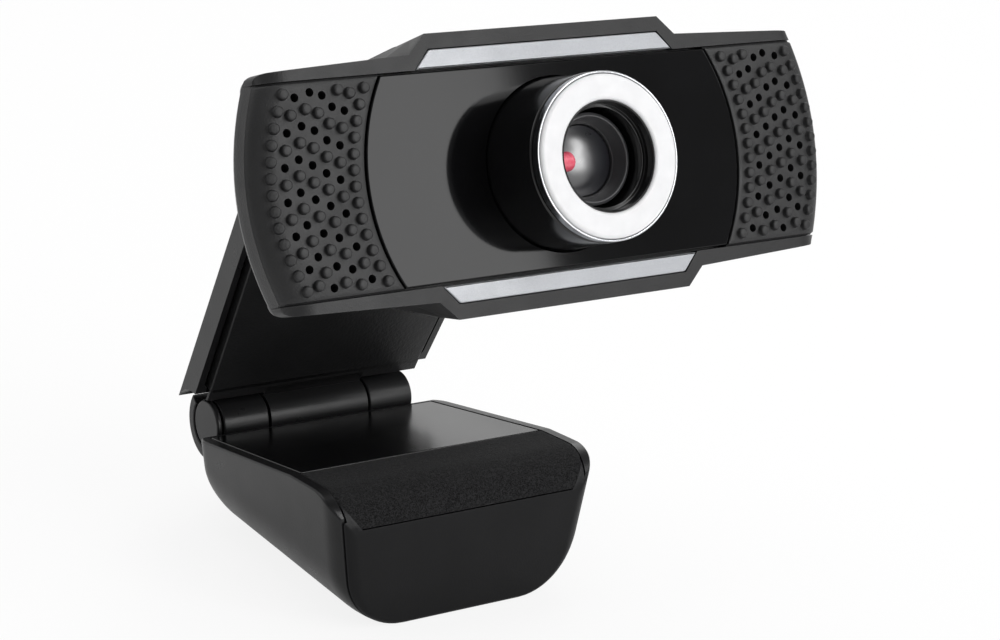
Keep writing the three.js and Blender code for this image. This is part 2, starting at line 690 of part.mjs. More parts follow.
function lensHolderSolid() {
  const inner = CELL_RADIUS + TURN_GAP;
  const outer = inner + HOLDER_WALL;
  const back = BOARD_DEPTH - FIT_GAP;
  const front = RING_FRONT + RING_FACE_THICKNESS + RING_SLEEVE_LENGTH + FIT_GAP;
  const half = HOLDER_BASE_WIDTH / 2;
  const base = box(-half, half, back - HOLDER_BASE_THICKNESS, back, -half, half);
  return base.add(cylinderY(outer, front, back, 0, 0))
    .subtract(cylinderY(inner, front - CUT_PAST, back + CUT_PAST, 0, 0));
}

const BOARD_BACK = BOARD_DEPTH + BOARD_THICKNESS;

function boardSolid() {
  const halfWidth = BOARD_WIDTH / 2;
  const halfHeight = BOARD_HEIGHT / 2;
  return box(-halfWidth, halfWidth, BOARD_DEPTH, BOARD_BACK, -halfHeight, halfHeight)
    .subtract(pegsY(SCREW_HOLE_RADIUS, BOARD_DEPTH - CUT_PAST, BOARD_BACK + CUT_PAST, boardScrewSpots));
}

function sensorSolid() {
  const half = SENSOR_WIDTH / 2;
  const back = BOARD_DEPTH - FIT_GAP;
  return box(-half, half, back - SENSOR_THICKNESS, back, -half, half);
}

function connectorSolid() {
  const front = BOARD_BACK + FIT_GAP;
  return box(
    CONNECTOR_X - CONNECTOR_WIDTH / 2, CONNECTOR_X + CONNECTOR_WIDTH / 2, front, front + CONNECTOR_DEPTH,
    -CONNECTOR_HEIGHT / 2, CONNECTOR_HEIGHT / 2,
  );
}

function addCameraModule(head) {
  place(head, 'lens_holder', lensHolderSolid(), MATERIALS.satinBlack);
  place(head, 'image_sensor', sensorSolid(), MATERIALS.chip);
  place(head, 'main_board', boardSolid(), MATERIALS.board);
  place(head, 'cable_connector', connectorSolid(), MATERIALS.ringWhite);
  const microphoneFront = FLOOR_FRONT + frontBend(MICROPHONE_X + MICROPHONE_RADIUS);
  const microphoneBack = microphoneFront + MICROPHONE_DEPTH;
  for (const [name, side] of [['microphone_left', -1], ['microphone_right', 1]]) {
    const spots = [[side * MICROPHONE_X, 0]];
    place(head, name, pegsY(MICROPHONE_RADIUS, microphoneFront, microphoneBack, spots), MATERIALS.steel);
  }
  boardScrewSpots.forEach(([x, z], k) => {
    const screw = screwSolid(SCREW_LENGTH).translate([x, BOARD_BACK + FIT_GAP, z]);
    place(head, `board_screw_${k + 1}`, screw, MATERIALS.steel);
  });
}

// ---------------------------------------------------------------- head: rear housing

// One cross-section of the housing, moved in by an inset. share is 0 at its front and 1 at its back face.
function housingSection(y, share, inset) {
  const bend = 1 - (1 - share ** HOUSING_BEND_START) ** HOUSING_BEND_END;
  const blend = (front, back) => front + (back - front) * bend - inset;
  return {
    y,
    points: headOutline({
      halfWidth: blend(HEAD_BACK_HALF_WIDTH, HOUSING_BACK_HALF_WIDTH),
      bulge: HEAD_END_BULGE,
      endHalfHeight: blend(HEAD_END_HALF_HEIGHT, HOUSING_BACK_HALF_HEIGHT - HOUSING_END_DROP),
      corner: HEAD_CORNER_RADIUS,
      shoulder: [
        blend(SHOULDER_BACK_HALF_WIDTH, HOUSING_BACK_SHOULDER),
        blend(SHOULDER_HALF_HEIGHT, HOUSING_BACK_HALF_HEIGHT - HOUSING_SHOULDER_DROP),
      ],
      flange: [
        blend(FLANGE_HALF_WIDTH, HOUSING_BACK_FLANGE),
        blend(FLANGE_BACK_HALF_HEIGHT, HOUSING_BACK_HALF_HEIGHT),
      ],
    }),
  };
}

const HOUSING_FRONT = BEZEL_DEPTH + FIT_GAP;

function housingForm(back, inset) {
  return loft(HOUSING_SHARES.map((share) => (
    housingSection(HOUSING_FRONT + (back - HOUSING_FRONT) * share, share, inset))));
}

function housingSolid() {
  const outside = housingForm(HOUSING_DEPTH, 0);
  const inside = housingForm(HOUSING_DEPTH - HOUSING_WALL, HOUSING_WALL);
  const seat = HOUSING_SCREW_SEAT;
  const cutEnd = HOUSING_DEPTH + CUT_PAST;
  const pillars = pegsY(HEAD_BOSS_RADIUS, seat - BEZEL_WALL, HOUSING_DEPTH, housingScrewSpots);
  const pockets = pegsY(HEAD_POCKET_RADIUS, seat, cutEnd, housingScrewSpots);
  const screwHoles = pegsY(SCREW_HOLE_RADIUS, HOUSING_FRONT, HOUSING_DEPTH, housingScrewSpots);
  const cableHole = pegsY(GROMMET_NECK_RADIUS + FIT_GAP, HOUSING_FRONT, cutEnd, [[GROMMET_X, 0]]);
  const bracketHoles = pegsY(
    SCREW_HOLE_RADIUS, HOUSING_DEPTH - HOUSING_WALL - CUT_PAST, cutEnd, bracketScrewSpots,
  );
  return outside.subtract(inside).add(pillars.intersect(outside))
    .subtract(joined([pockets, screwHoles, cableHole, bracketHoles]));
}

function grommetSolid() {
  const outside = HOUSING_DEPTH + FIT_GAP;
  const inside = HOUSING_DEPTH - HOUSING_WALL - FIT_GAP;
  return turned([
    [CABLE_RADIUS, inside - GROMMET_FLANGE_THICKNESS],
    [GROMMET_FLANGE_RADIUS, inside - GROMMET_FLANGE_THICKNESS],
    [GROMMET_FLANGE_RADIUS, inside],
    [GROMMET_NECK_RADIUS, inside],
    [GROMMET_NECK_RADIUS, outside],
    [GROMMET_FLANGE_RADIUS, outside],
    [GROMMET_FLANGE_RADIUS - GROMMET_TAPER, outside + GROMMET_FLANGE_THICKNESS],
    [CABLE_RADIUS, outside + GROMMET_FLANGE_THICKNESS],
  ], SMALL_SIDES).translate([GROMMET_X, 0, 0]);
}

const bracketScrewX = BRACKET_PLATE_HALF_WIDTH - HEAD_POCKET_RADIUS;
const bracketScrewSpots = bothSides.map((side) => [side * bracketScrewX, 0]);
const BRACKET_FRONT = HOUSING_DEPTH + FIT_GAP;
const BRACKET_BACK = BRACKET_FRONT + BRACKET_PLATE_THICKNESS;
const LUG_INNER = NECK_EYE_HEIGHT / 2 + WASHER_THICKNESS + 2 * FIT_GAP;
const LUG_OUTER = LUG_INNER + BRACKET_LUG_THICKNESS;
const SWIVEL_SPOTS = [[0, SWIVEL_DEPTH]];

// The plate on the housing's back with an upper and a lower lug for the swivel pin.
function bracketSolid() {
  const plate = box(
    -BRACKET_PLATE_HALF_WIDTH, BRACKET_PLATE_HALF_WIDTH, BRACKET_FRONT, BRACKET_BACK,
    -BRACKET_PLATE_HALF_HEIGHT, BRACKET_PLATE_HALF_HEIGHT + NECK_HEIGHT / 2,
  );
  const lugs = bothSides.map((side) => {
    const [low, high] = span(side, LUG_INNER, LUG_OUTER).map((z) => NECK_HEIGHT + z);
    return box(-NECK_EYE_RADIUS, NECK_EYE_RADIUS, BRACKET_BACK - JOIN_DEPTH, SWIVEL_DEPTH, low, high)
      .add(cylinderZ(NECK_EYE_RADIUS, low, high, 0, SWIVEL_DEPTH));
  });
  const pinReach = LUG_OUTER + CUT_PAST;
  const pinHole = pegsZ(SWIVEL_HOLE_RADIUS, NECK_HEIGHT - pinReach, NECK_HEIGHT + pinReach, SWIVEL_SPOTS);
  const screwHoles = pegsY(
    SCREW_HOLE_RADIUS, BRACKET_FRONT - CUT_PAST, BRACKET_BACK + CUT_PAST, bracketScrewSpots,
  );
  return joined([plate, ...lugs]).subtract(pinHole).subtract(screwHoles);
}

function addHousing(head) {
  place(head, 'rear_housing', housingSolid(), MATERIALS.mattBlack);
  housingScrewSpots.forEach(([x, z], k) => {
    const screw = screwSolid(SCREW_LENGTH).translate([x, HOUSING_SCREW_SEAT + FIT_GAP, z]);
    place(head, `housing_screw_${k + 1}`, screw, MATERIALS.steel);
  });
  place(head, 'cable_grommet', grommetSolid(), MATERIALS.rubber);
  place(head, 'swivel_bracket', bracketSolid(), MATERIALS.mattBlack);
  const pin = pegsZ(SWIVEL_PIN_RADIUS, NECK_HEIGHT - LUG_OUTER, NECK_HEIGHT + LUG_OUTER, SWIVEL_SPOTS);
  place(head, 'swivel_pin', pin, MATERIALS.steel);
  const length = BRACKET_PLATE_THICKNESS + HOUSING_WALL + 2 * FIT_GAP;
  bracketScrewSpots.forEach(([x, z], k) => {
    const screw = screwSolid(length).translate([x, BRACKET_BACK + FIT_GAP, z]);
    place(head, `bracket_screw_${k + 1}`, screw, MATERIALS.steel);
  });
}

// ---------------------------------------------------------------- neck, about the tilt axis

const NECK_EYE_SPOTS = [[0, -NECK_LENGTH]];

function neckSolid() {
  const halfEye = NECK_EYE_HEIGHT / 2;
  const halfBarrel = NECK_BARREL_LENGTH / 2;
  const halfLink = NECK_LINK_WIDTH / 2;
  const eye = cylinderZ(NECK_EYE_RADIUS, -halfEye, halfEye, 0, -NECK_LENGTH);
  const barrel = cylinderX(NECK_BARREL_RADIUS, -halfBarrel, halfBarrel, 0, 0);
  const link = box(-halfLink, halfLink, -NECK_LENGTH, 0, -halfEye, halfEye);
  const tiltReach = halfBarrel + CUT_PAST;
  const swivelReach = halfEye + CUT_PAST;
  return joined([eye, barrel, link])
    .subtract(cylinderX(TILT_HOLE_RADIUS, -tiltReach, tiltReach, 0, 0, SMALL_SIDES))
    .subtract(pegsZ(SWIVEL_HOLE_RADIUS, -swivelReach, swivelReach, NECK_EYE_SPOTS));
}

function addNeck(neck) {
  place(neck, 'neck_link', neckSolid(), MATERIALS.mattBlack);
  const near = NECK_EYE_HEIGHT / 2 + FIT_GAP;
  for (const [name, side] of [['swivel_washer_top', 1], ['swivel_washer_bottom', -1]]) {
    const [low, high] = span(side, near, near + WASHER_THICKNESS);
    const washer = pegsZ(WASHER_RADIUS, low, high, NECK_EYE_SPOTS)
      .subtract(pegsZ(SWIVEL_HOLE_RADIUS, low - CUT_PAST, high + CUT_PAST, NECK_EYE_SPOTS));
    place(neck, name, washer, MATERIALS.steel);
  }
}

// ---------------------------------------------------------------- arm, about the clip hinge axis

const ARM_BACK = ARM_SETBACK + ARM_THICKNESS;
const GUARD_INNER = HINGE_RADIUS + TURN_GAP;
const GUARD_OUTER = GUARD_INNER + GUARD_THICKNESS;
const ARM_START = GUARD_OUTER + TURN_GAP;

// The arm's front outline, moved in by an inset.
function armOutline(inset, start) {
  const top = ARM_PLATE_LENGTH - inset;
  const cut = ARM_CORNER_CUT;
  const right = [
    [ARM_FOOT_END_HALF_WIDTH - inset, start],
    [ARM_HEAD_END_HALF_WIDTH - inset, top - cut],
    [ARM_HEAD_END_HALF_WIDTH - inset - cut, top],
  ];
  return [...right, ...mirrored(right)];
}

const LUG_IN = NECK_BARREL_LENGTH / 2 + TURN_GAP;
const LUG_OUT = LUG_IN + ARM_LUG_THICKNESS;
const TILT_AXIS_Y = ARM_SETBACK + ARM_THICKNESS / 2;
const ARM_PLATE_BACK = ARM_SETBACK + ARM_PLATE_THICKNESS;
const ARM_PLATE_MIDDLE = ARM_SETBACK + ARM_PLATE_THICKNESS / 2;
const ARM_SCREW_SEAT = ARM_BACK - ARM_WALL / 2;
const armScrewSpots = bothSides.flatMap((side) => ARM_SCREW_SHARES.map((share) => (
  [side * ARM_SCREW_X, ARM_START + (ARM_PLATE_LENGTH - ARM_START) * share])));

function armLugSolid(side) {
  const rimFront = ARM_SETBACK + ARM_RIM_DROP;
  const [x0, x1] = span(side, LUG_IN, LUG_OUT);
  return box(x0, x1, rimFront, ARM_BACK, ARM_PLATE_LENGTH - ARM_LUG_ROOT, ARM_TILT_AXIS)
    .add(cylinderX(ARM_LUG_RADIUS, x0, x1, TILT_AXIS_Y, ARM_TILT_AXIS));
}

function armCoverSolid() {
  const rimFront = ARM_SETBACK + ARM_RIM_DROP;
  const tray = prismY(armOutline(0, 0), rimFront, ARM_BACK);
  const well = prismY(armOutline(ARM_WALL, ARM_START + ARM_WALL), rimFront - CUT_PAST, ARM_BACK - ARM_WALL);
  const far = ARM_HEAD_END_HALF_WIDTH + CUT_PAST;
  const sweep = cylinderX(ARM_START, -far, far, 0, 0);
  const half = HINGE_CENTRE_HALF_LENGTH;
  const knuckle = cylinderX(HINGE_RADIUS, -half, half, 0, 0);
  const web = box(-half, half, ARM_SETBACK, ARM_BACK - ARM_WALL, ARM_SETBACK, ARM_START + ARM_WALL);
  const pads = pegsY(HEAD_BOSS_RADIUS, ARM_PLATE_BACK + FIT_GAP, ARM_SCREW_SEAT, armScrewSpots);
  const screwHoles = pegsY(SCREW_HOLE_RADIUS, rimFront, ARM_BACK + CUT_PAST, armScrewSpots);
  const headPockets = pegsY(HEAD_POCKET_RADIUS, ARM_SCREW_SEAT, ARM_BACK + CUT_PAST, armScrewSpots);
  const pinHole = cylinderX(HINGE_HOLE_RADIUS, -far, far, 0, 0, SMALL_SIDES);
  const tiltHole = cylinderX(TILT_HOLE_RADIUS, -far, far, TILT_AXIS_Y, ARM_TILT_AXIS, SMALL_SIDES);
  return tray.subtract(well).subtract(sweep)
    .add(joined([knuckle, web, pads, ...bothSides.map(armLugSolid)]))
    .subtract(joined([pinHole, tiltHole, screwHoles, headPockets]))
    .subtract(platePocket());
}

// The room that the front plate takes from the lugs and the web behind it.
function platePocket() {
  const outline = armOutline(ARM_PLATE_INSET - FIT_GAP, ARM_START - FIT_GAP);
  return prismY(outline, ARM_SETBACK - CUT_PAST, ARM_PLATE_BACK + FIT_GAP);
}

function armPlateSolid() {
  const sweep = cylinderX(ARM_START, -ARM_HEAD_END_HALF_WIDTH, ARM_HEAD_END_HALF_WIDTH, 0, 0);
  return prismY(armOutline(ARM_PLATE_INSET, ARM_START), ARM_SETBACK, ARM_PLATE_BACK).subtract(sweep)
    .subtract(pegsY(SCREW_HOLE_RADIUS, ARM_PLATE_MIDDLE, ARM_PLATE_BACK + CUT_PAST, armScrewSpots));
}

function addArm(arm) {
  place(arm, 'arm_back_cover', armCoverSolid(), MATERIALS.satinBlack);
  place(arm, 'arm_front_plate', armPlateSolid(), MATERIALS.mattBlack);
  armScrewSpots.forEach(([x, z], k) => {
    const screw = screwSolid(ARM_SCREW_SEAT - ARM_PLATE_MIDDLE).translate([x, ARM_SCREW_SEAT + FIT_GAP, z]);
    place(arm, `arm_screw_${k + 1}`, screw, MATERIALS.steel);
  });
  const pin = cylinderX(TILT_PIN_RADIUS, -LUG_OUT, LUG_OUT, TILT_AXIS_Y, ARM_TILT_AXIS, SMALL_SIDES);
  place(arm, 'tilt_pin', pin, MATERIALS.steel);
}

// ---------------------------------------------------------------- foot

const ABOVE_FOOT = TOP_FRONT_HEIGHT + NOSE_RADIUS;
const BESIDE_FOOT = FOOT_HALF_WIDTH + CUT_PAST;

const topSlope = (TOP_FRONT_HEIGHT - TOP_BACK_HEIGHT) / (TOP_BACK_Y - TOP_FRONT_Y);
const topHeight = (y) => TOP_BACK_HEIGHT + topSlope * (TOP_BACK_Y - y);

// The foot seen from the front, moved in at the sides and up to a floor: a flat bottom, two big lower
// corners and sides that lean out to the full width at the nose.
function footOutline(inset, floor) {
  const lean = radians(FOOT_SIDE_LEAN);
  const sideX = (radius, rise) => radius / Math.cos(lean) + (rise - radius) * Math.tan(lean);
  const middle = FOOT_HALF_WIDTH - sideX(FOOT_CORNER_RADIUS, TOP_FRONT_HEIGHT);
  const radius = FOOT_CORNER_RADIUS - inset;
  const right = [
    ...arc(middle, floor + radius, radius, -90, -FOOT_SIDE_LEAN),
    [middle + sideX(radius, ABOVE_FOOT - floor), ABOVE_FOOT],
  ];
  return [...mirrored(right), ...right];
}

// The line over the nose seen from the side, moved in by an inset: from an angle of its arc to the panel.
function noseLine(inset, fromAngle = 180) {
  return [
    ...arc(NOSE_RADIUS, NOSE_CENTRE_HEIGHT, NOSE_RADIUS - inset, fromAngle, NOSE_BACK_ANGLE, NOSE_STEPS),
    [TOP_FRONT_Y, TOP_FRONT_HEIGHT - inset],
  ];
}

// The foot seen from the side: the heel, the rising top and the round nose.
function footSide() {
  return [
    [0, 0],
    ...arc(FOOT_LENGTH - FOOT_HEEL_RADIUS, FOOT_HEEL_RADIUS, FOOT_HEEL_RADIUS, -90, 0),
    [FOOT_LENGTH, topHeight(FOOT_LENGTH)],
    ...noseLine(0).reverse(),
  ];
}

// The whole foot's outer form. Its upright edges at the front and the back are round.
function footForm() {
  const ends = arc(FOOT_END_RADIUS, 0, FOOT_END_RADIUS, 180, 90);
  const front = ends.map(([y, rise]) => ({ y, points: footOutline(FOOT_END_RADIUS - rise, 0).reverse() }));
  const back = front.map(({ y, points }) => ({ y: FOOT_LENGTH - y, points })).reverse();
  return loft([...front, ...back]).intersect(prismX(footSide(), -BESIDE_FOOT, BESIDE_FOOT));
}

// The part of the foot's form between two distances from its front.
function footSlice(y0, y1) {
  return footForm().intersect(box(-BESIDE_FOOT, BESIDE_FOOT, y0, y1, 0, ABOVE_FOOT));
}

// The room inside the foot's side walls, narrower by a gap, as far back as backY.
function insideWalls(gap, backY) {
  const inset = FOOT_WALL + gap;
  return prismY(footOutline(inset, inset), -CUT_PAST, backY);
}

function guardOutline(inner, outer, fromAngle, toAngle) {
  return [
    ...arc(FOOT_HINGE_Y, HINGE_HEIGHT, outer, fromAngle, toAngle, EDGE_STEPS),
    ...arc(FOOT_HINGE_Y, HINGE_HEIGHT, inner, toAngle, fromAngle, EDGE_STEPS),
  ];
}

// The curved guard behind the hinge barrel, from below the barrel round to its back.
function guardSolid() {
  const half = HINGE_HALF_LENGTH + HINGE_CAP_THICKNESS + FIT_GAP;
  const whole = guardOutline(GUARD_INNER, GUARD_OUTER, GUARD_FRONT_ANGLE, GUARD_TOP_ANGLE);
  const windowTop = GUARD_TOP_ANGLE + GUARD_WINDOW_OVERRUN;
  const opening = guardOutline(GUARD_INNER - CUT_PAST, GUARD_OUTER + CUT_PAST, GUARD_WINDOW_ANGLE, windowTop);
  const windowHalf = HINGE_CENTRE_HALF_LENGTH + TURN_GAP;
  return prismX(whole, -half, HINGE_HALF_LENGTH).subtract(prismX(opening, -windowHalf, windowHalf));
}

function outerKnuckleSolid(side) {
  const [x0, x1] = span(side, HINGE_CENTRE_HALF_LENGTH + TURN_GAP, HINGE_HALF_LENGTH);
  const webBottom = HINGE_HEIGHT - GUARD_OUTER + JOIN_DEPTH;
  const webTop = HINGE_HEIGHT - HINGE_WEB_MARGIN;
  return cylinderX(HINGE_RADIUS, x0, x1, FOOT_HINGE_Y, HINGE_HEIGHT)
    .add(box(x0, x1, FOOT_LENGTH - HINGE_WEB_MARGIN, FOOT_HINGE_Y, webBottom, webTop));
}

const footFrontScrewSpots = bothSides.map((side) => [side * FOOT_SCREW_X, FOOT_SCREW_FRONT_Y]);
const footBackScrewSpots = bothSides.map((side) => [side * FOOT_SCREW_X, FOOT_SCREW_BACK_Y]);
const footScrewSpots = [...footFrontScrewSpots, ...footBackScrewSpots];
const FOOT_SCREW_FLOOR = FOOT_SCREW_SINK + FOOT_WALL;

// A round bar along the clip hinge's axis, across the whole foot.
function hingeBar(radius, sides) {
  return cylinderX(radius, -BESIDE_FOOT, BESIDE_FOOT, FOOT_HINGE_Y, HINGE_HEIGHT, sides);
}

function footShellSolid() {
  const hollow = insideWalls(0, FOOT_LENGTH - FOOT_WALL);
  const insertRoom = TRIPOD_INSERT_RADIUS + FIT_GAP;
  const insertTop = TRIPOD_INSERT_HEIGHT + TRIPOD_INSERT_RECESS + FIT_GAP;
  const insertBoss = cylinderZ(
    insertRoom + BOSS_WALL, FOOT_WALL / 2, TRIPOD_INSERT_HEIGHT, 0, TRIPOD_INSERT_Y,
  );
  const insertHole = cylinderZ(insertRoom, -CUT_PAST, insertTop, 0, TRIPOD_INSERT_Y);
  const pillars = pegsZ(HEAD_BOSS_RADIUS, FOOT_WALL / 2, FOOT_SCREW_FLOOR, footScrewSpots);
  const headPockets = pegsZ(HEAD_POCKET_RADIUS, -CUT_PAST, FOOT_SCREW_SINK, footScrewSpots);
  const screwHoles = pegsZ(SCREW_HOLE_RADIUS, -CUT_PAST, FOOT_SCREW_FLOOR + CUT_PAST, footScrewSpots);
  const tray = footSlice(NOSE_FACE_DEPTH, FOOT_LENGTH).subtract(hollow);
  return tray.add(guardSolid()).subtract(hingeBar(GUARD_INNER))
    .add(joined([insertBoss, pillars, ...bothSides.map(outerKnuckleSolid)]))
    .subtract(joined([insertHole, hingeBar(HINGE_HOLE_RADIUS, SMALL_SIDES), headPockets, screwHoles]));
}

// The band over the nose between two insets, from an angle of its arc to the panel.
const noseBand = (outer, inner, fromAngle) => (
  [...noseLine(outer, fromAngle), ...noseLine(inner, fromAngle).reverse()]
);

// The nose cover: a front face and, between the side walls, a round nose with room for the pad.
function noseSolid() {
  const faceBack = NOSE_FACE_DEPTH - FIT_GAP;
  const thickness = NOSE_WALL + PAD_THICKNESS;
  const floor = FOOT_WALL + FIT_GAP;
  const face = footSlice(0, faceBack)
    .intersect(box(-BESIDE_FOOT, BESIDE_FOOT, 0, faceBack, FIT_GAP / 2, ABOVE_FOOT));
  const side = [...noseBand(0, thickness, 180), [thickness, floor], [0, floor]];
  const nose = prismX(side, -BESIDE_FOOT, BESIDE_FOOT);
  const pillarTop = TOP_FRONT_HEIGHT - thickness + 2 * JOIN_DEPTH;
  const pillars = pegsZ(BOSS_RADIUS, FOOT_SCREW_FLOOR + FIT_GAP, pillarTop, footFrontScrewSpots);
  const holes = pegsZ(SCREW_HOLE_RADIUS, 0, FOOT_SCREW_SINK + SCREW_LENGTH + CUT_PAST, footFrontScrewSpots);
  const padRoom = prismX(
    noseBand(-CUT_PAST, PAD_THICKNESS + FIT_GAP, PAD_FRONT_ANGLE), -BESIDE_FOOT, BESIDE_FOOT,
  );
  return nose.intersect(footForm()).intersect(insideWalls(FIT_GAP, TOP_FRONT_Y)).add(face).add(pillars)
    .subtract(joined([padRoom, holes]));
}

function padSolid() {
  const band = prismX(noseBand(0, PAD_THICKNESS, PAD_FRONT_ANGLE), -BESIDE_FOOT, BESIDE_FOOT);
  return band.intersect(footForm()).intersect(insideWalls(FIT_GAP, TOP_FRONT_Y));
}

function topPanelSolid() {
  const front = TOP_FRONT_Y + FIT_GAP;
  const slab = prismX([
    [front, topHeight(front)],
    [front, topHeight(front) - TOP_PANEL_THICKNESS],
    [TOP_BACK_Y, topHeight(TOP_BACK_Y) - TOP_PANEL_THICKNESS],
    [TOP_BACK_Y, topHeight(TOP_BACK_Y)],
  ], -BESIDE_FOOT, BESIDE_FOOT);
  const pillars = pegsZ(BOSS_RADIUS, FOOT_SCREW_FLOOR + FIT_GAP, TOP_BACK_HEIGHT, footBackScrewSpots);
  const holes = pegsZ(SCREW_HOLE_RADIUS, 0, FOOT_SCREW_SINK + SCREW_LENGTH + CUT_PAST, footBackScrewSpots);
  return slab.intersect(insideWalls(FIT_GAP, FOOT_LENGTH - FOOT_WALL - FIT_GAP))
    .subtract(hingeBar(GUARD_INNER)).add(pillars).subtract(holes);
}

function insertSolid() {
  const top = TRIPOD_INSERT_RECESS + TRIPOD_INSERT_HEIGHT;
  return cylinderZ(TRIPOD_INSERT_RADIUS, TRIPOD_INSERT_RECESS, top, 0, TRIPOD_INSERT_Y)
    .subtract(cylinderZ(TRIPOD_HOLE_RADIUS, -CUT_PAST, top + CUT_PAST, 0, TRIPOD_INSERT_Y));
}

function addFoot(foot) {
  place(foot, 'foot_shell', footShellSolid(), MATERIALS.satinBlack);
  place(foot, 'foot_top_panel', topPanelSolid(), MATERIALS.glossBlack);
  place(foot, 'foot_nose_cover', noseSolid(), MATERIALS.mattBlack);
  place(foot, 'foot_pad', padSolid(), MATERIALS.felt);
  place(foot, 'tripod_insert', insertSolid(), MATERIALS.brass);
  footScrewSpots.forEach(([x, y], k) => {
    const screw = toSolid(toGeometry(screwSolid(SCREW_LENGTH)).rotateX(-Math.PI / 2));
    place(foot, `foot_screw_${k + 1}`, screw.translate([x, y, FOOT_SCREW_SINK - FIT_GAP]), MATERIALS.steel);
  });
  const pin = cylinderX(
    HINGE_PIN_RADIUS, -HINGE_HALF_LENGTH, HINGE_HALF_LENGTH, FOOT_HINGE_Y, HINGE_HEIGHT, SMALL_SIDES,
  );
  place(foot, 'hinge_pin', pin, MATERIALS.steel);
  const capInner = -HINGE_HALF_LENGTH - FIT_GAP;
  const cap = cylinderX(HINGE_RADIUS, capInner - HINGE_CAP_THICKNESS, capInner, FOOT_HINGE_Y, HINGE_HEIGHT);
  place(foot, 'hinge_pin_cap', cap, MATERIALS.satinBlack);
}

// ---------------------------------------------------------------- assembly

const webcam = new THREE.Group();
addFoot(webcam);

const arm = new THREE.Group();
arm.position.set(0, FOOT_HINGE_Y, HINGE_HEIGHT);
arm.rotation.x = radians(ARM_LEAN);
addArm(arm);
webcam.add(arm);

// The neck's tilt axis sits in the arm's lugs. The head's own axes stay tilted against the world.
const tilt = new THREE.Group();
tilt.position.set(0, TILT_AXIS_Y, ARM_TILT_AXIS);
tilt.rotation.x = radians(-HEAD_TILT - ARM_LEAN);
addNeck(tilt);
arm.add(tilt);

const head = new THREE.Group();
head.position.set(0, -NECK_LENGTH - SWIVEL_DEPTH, -NECK_HEIGHT);
addHeadFront(head);
addLens(head);
addCameraModule(head);
addHousing(head);
tilt.add(head);

// The origin goes to the ground under the middle of the whole object.
webcam.updateMatrixWorld(true);
const bounds = new THREE.Box3().setFromObject(webcam, true);
const centre = bounds.getCenter(new THREE.Vector3());
webcam.position.set(-centre.x, -centre.y, -bounds.min.z);
webcam.updateMatrixWorld(true);

export default webcam;
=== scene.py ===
"""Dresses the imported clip-on webcam: smooth shells, moulded plastic, felt, silver trim and glass."""
import json
import math

import bmesh
import bpy
from mathutils import Matrix, Vector


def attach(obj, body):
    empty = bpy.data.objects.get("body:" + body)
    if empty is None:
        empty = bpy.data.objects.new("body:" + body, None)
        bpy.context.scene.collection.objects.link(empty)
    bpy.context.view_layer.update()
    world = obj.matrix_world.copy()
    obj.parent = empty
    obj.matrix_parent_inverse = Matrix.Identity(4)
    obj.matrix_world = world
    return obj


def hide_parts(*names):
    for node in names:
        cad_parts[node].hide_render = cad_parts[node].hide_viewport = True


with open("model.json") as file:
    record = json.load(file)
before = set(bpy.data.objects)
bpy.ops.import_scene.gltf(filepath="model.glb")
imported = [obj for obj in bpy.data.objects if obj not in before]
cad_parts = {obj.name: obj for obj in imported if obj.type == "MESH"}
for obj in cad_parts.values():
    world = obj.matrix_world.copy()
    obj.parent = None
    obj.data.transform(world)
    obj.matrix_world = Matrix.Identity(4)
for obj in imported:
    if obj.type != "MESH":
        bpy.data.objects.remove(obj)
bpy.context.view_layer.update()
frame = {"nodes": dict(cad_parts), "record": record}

# ---------------- sizes in millimetres, angles in degrees

MM = 0.001
FIT_GAP = 0.3
TURN_GAP = 0.4
PAST = 1.0  # how far cutters reach past what they cut
HEADROOM = 5.0  # how far they reach above the foot
HAIR = 0.1  # a step too small to see
# the roundings of edges
WIDE_EDGE = 0.35
SOFT_EDGE = 0.3
THIN_EDGE = 0.25
FINE_EDGE = 0.12

HEAD_HALF_WIDTH = 48.5
HEAD_BACK_HALF_WIDTH = 46.9
HEAD_END_BULGE = 3.4
HEAD_END_HALF_HEIGHT = 16.1
HEAD_CORNER_RADIUS = 1.6
HEAD_EDGE_WIDTH = 4.0
HEAD_EDGE_DEPTH = 2.3
HEAD_EDGE_END = 0.995  # stops the end's rounding just before it runs straight back
HEAD_FLAT_HALF_WIDTH = 30.0
HEAD_FRONT_BEND_RADIUS = 280.0
FLANGE_HALF_WIDTH = 19.8
FLANGE_HALF_HEIGHT = 19.6
FLANGE_BACK_HALF_HEIGHT = 18.8
SHOULDER_HALF_WIDTH = 22.6
SHOULDER_BACK_HALF_WIDTH = 25.5
SHOULDER_HALF_HEIGHT = 16.9
BEZEL_DEPTH = 7.5
BEZEL_WAIST_DEPTH = 4.1
WINDOW_HALF_HEIGHT = 14.7
PLATE_THICKNESS = 2.0
PLATE_CROWDING = 1.5  # crowds the columns of the plate's grid towards the end
END_SKIRT = 0.1
END_SKIRT_DEPTH = 5.3
# how far the grille plate's rim is moved in, at each depth
PLATE_LAYERS = [
    (THIN_EDGE, 0.0), (0.07, 0.07), (0.0, THIN_EDGE), (0.0, 0.4),
    (-0.8 * FIT_GAP, 0.5), (-0.8 * FIT_GAP, PLATE_THICKNESS),
]
PANEL_HALF_WIDTH = 31.6
PANEL_ARC_SAGITTA = 4.1
TRIM_LONG_HALF_WIDTH = 22.0
TRIM_SHORT_HALF_WIDTH = 19.5
TRIM_HEIGHT = 2.8
TRIM_THICKNESS = 1.0
TRIM_CORNER = 0.3
TRIM_EDGE = 0.18
TRIM_STAND = 0.05

GRILLE_COLUMN_PITCH = 2.045
GRILLE_ROW_PITCH = 2.17
GRILLE_MARGIN = 1.95
GRILLE_COLUMNS = 7
GRILLE_ROWS = 13
SOUND_HOLE_RADIUS = 0.6
BUMP_RADIUS = 0.74
BUMP_HEIGHT = 0.8
BUMP_EDGE = 0.3

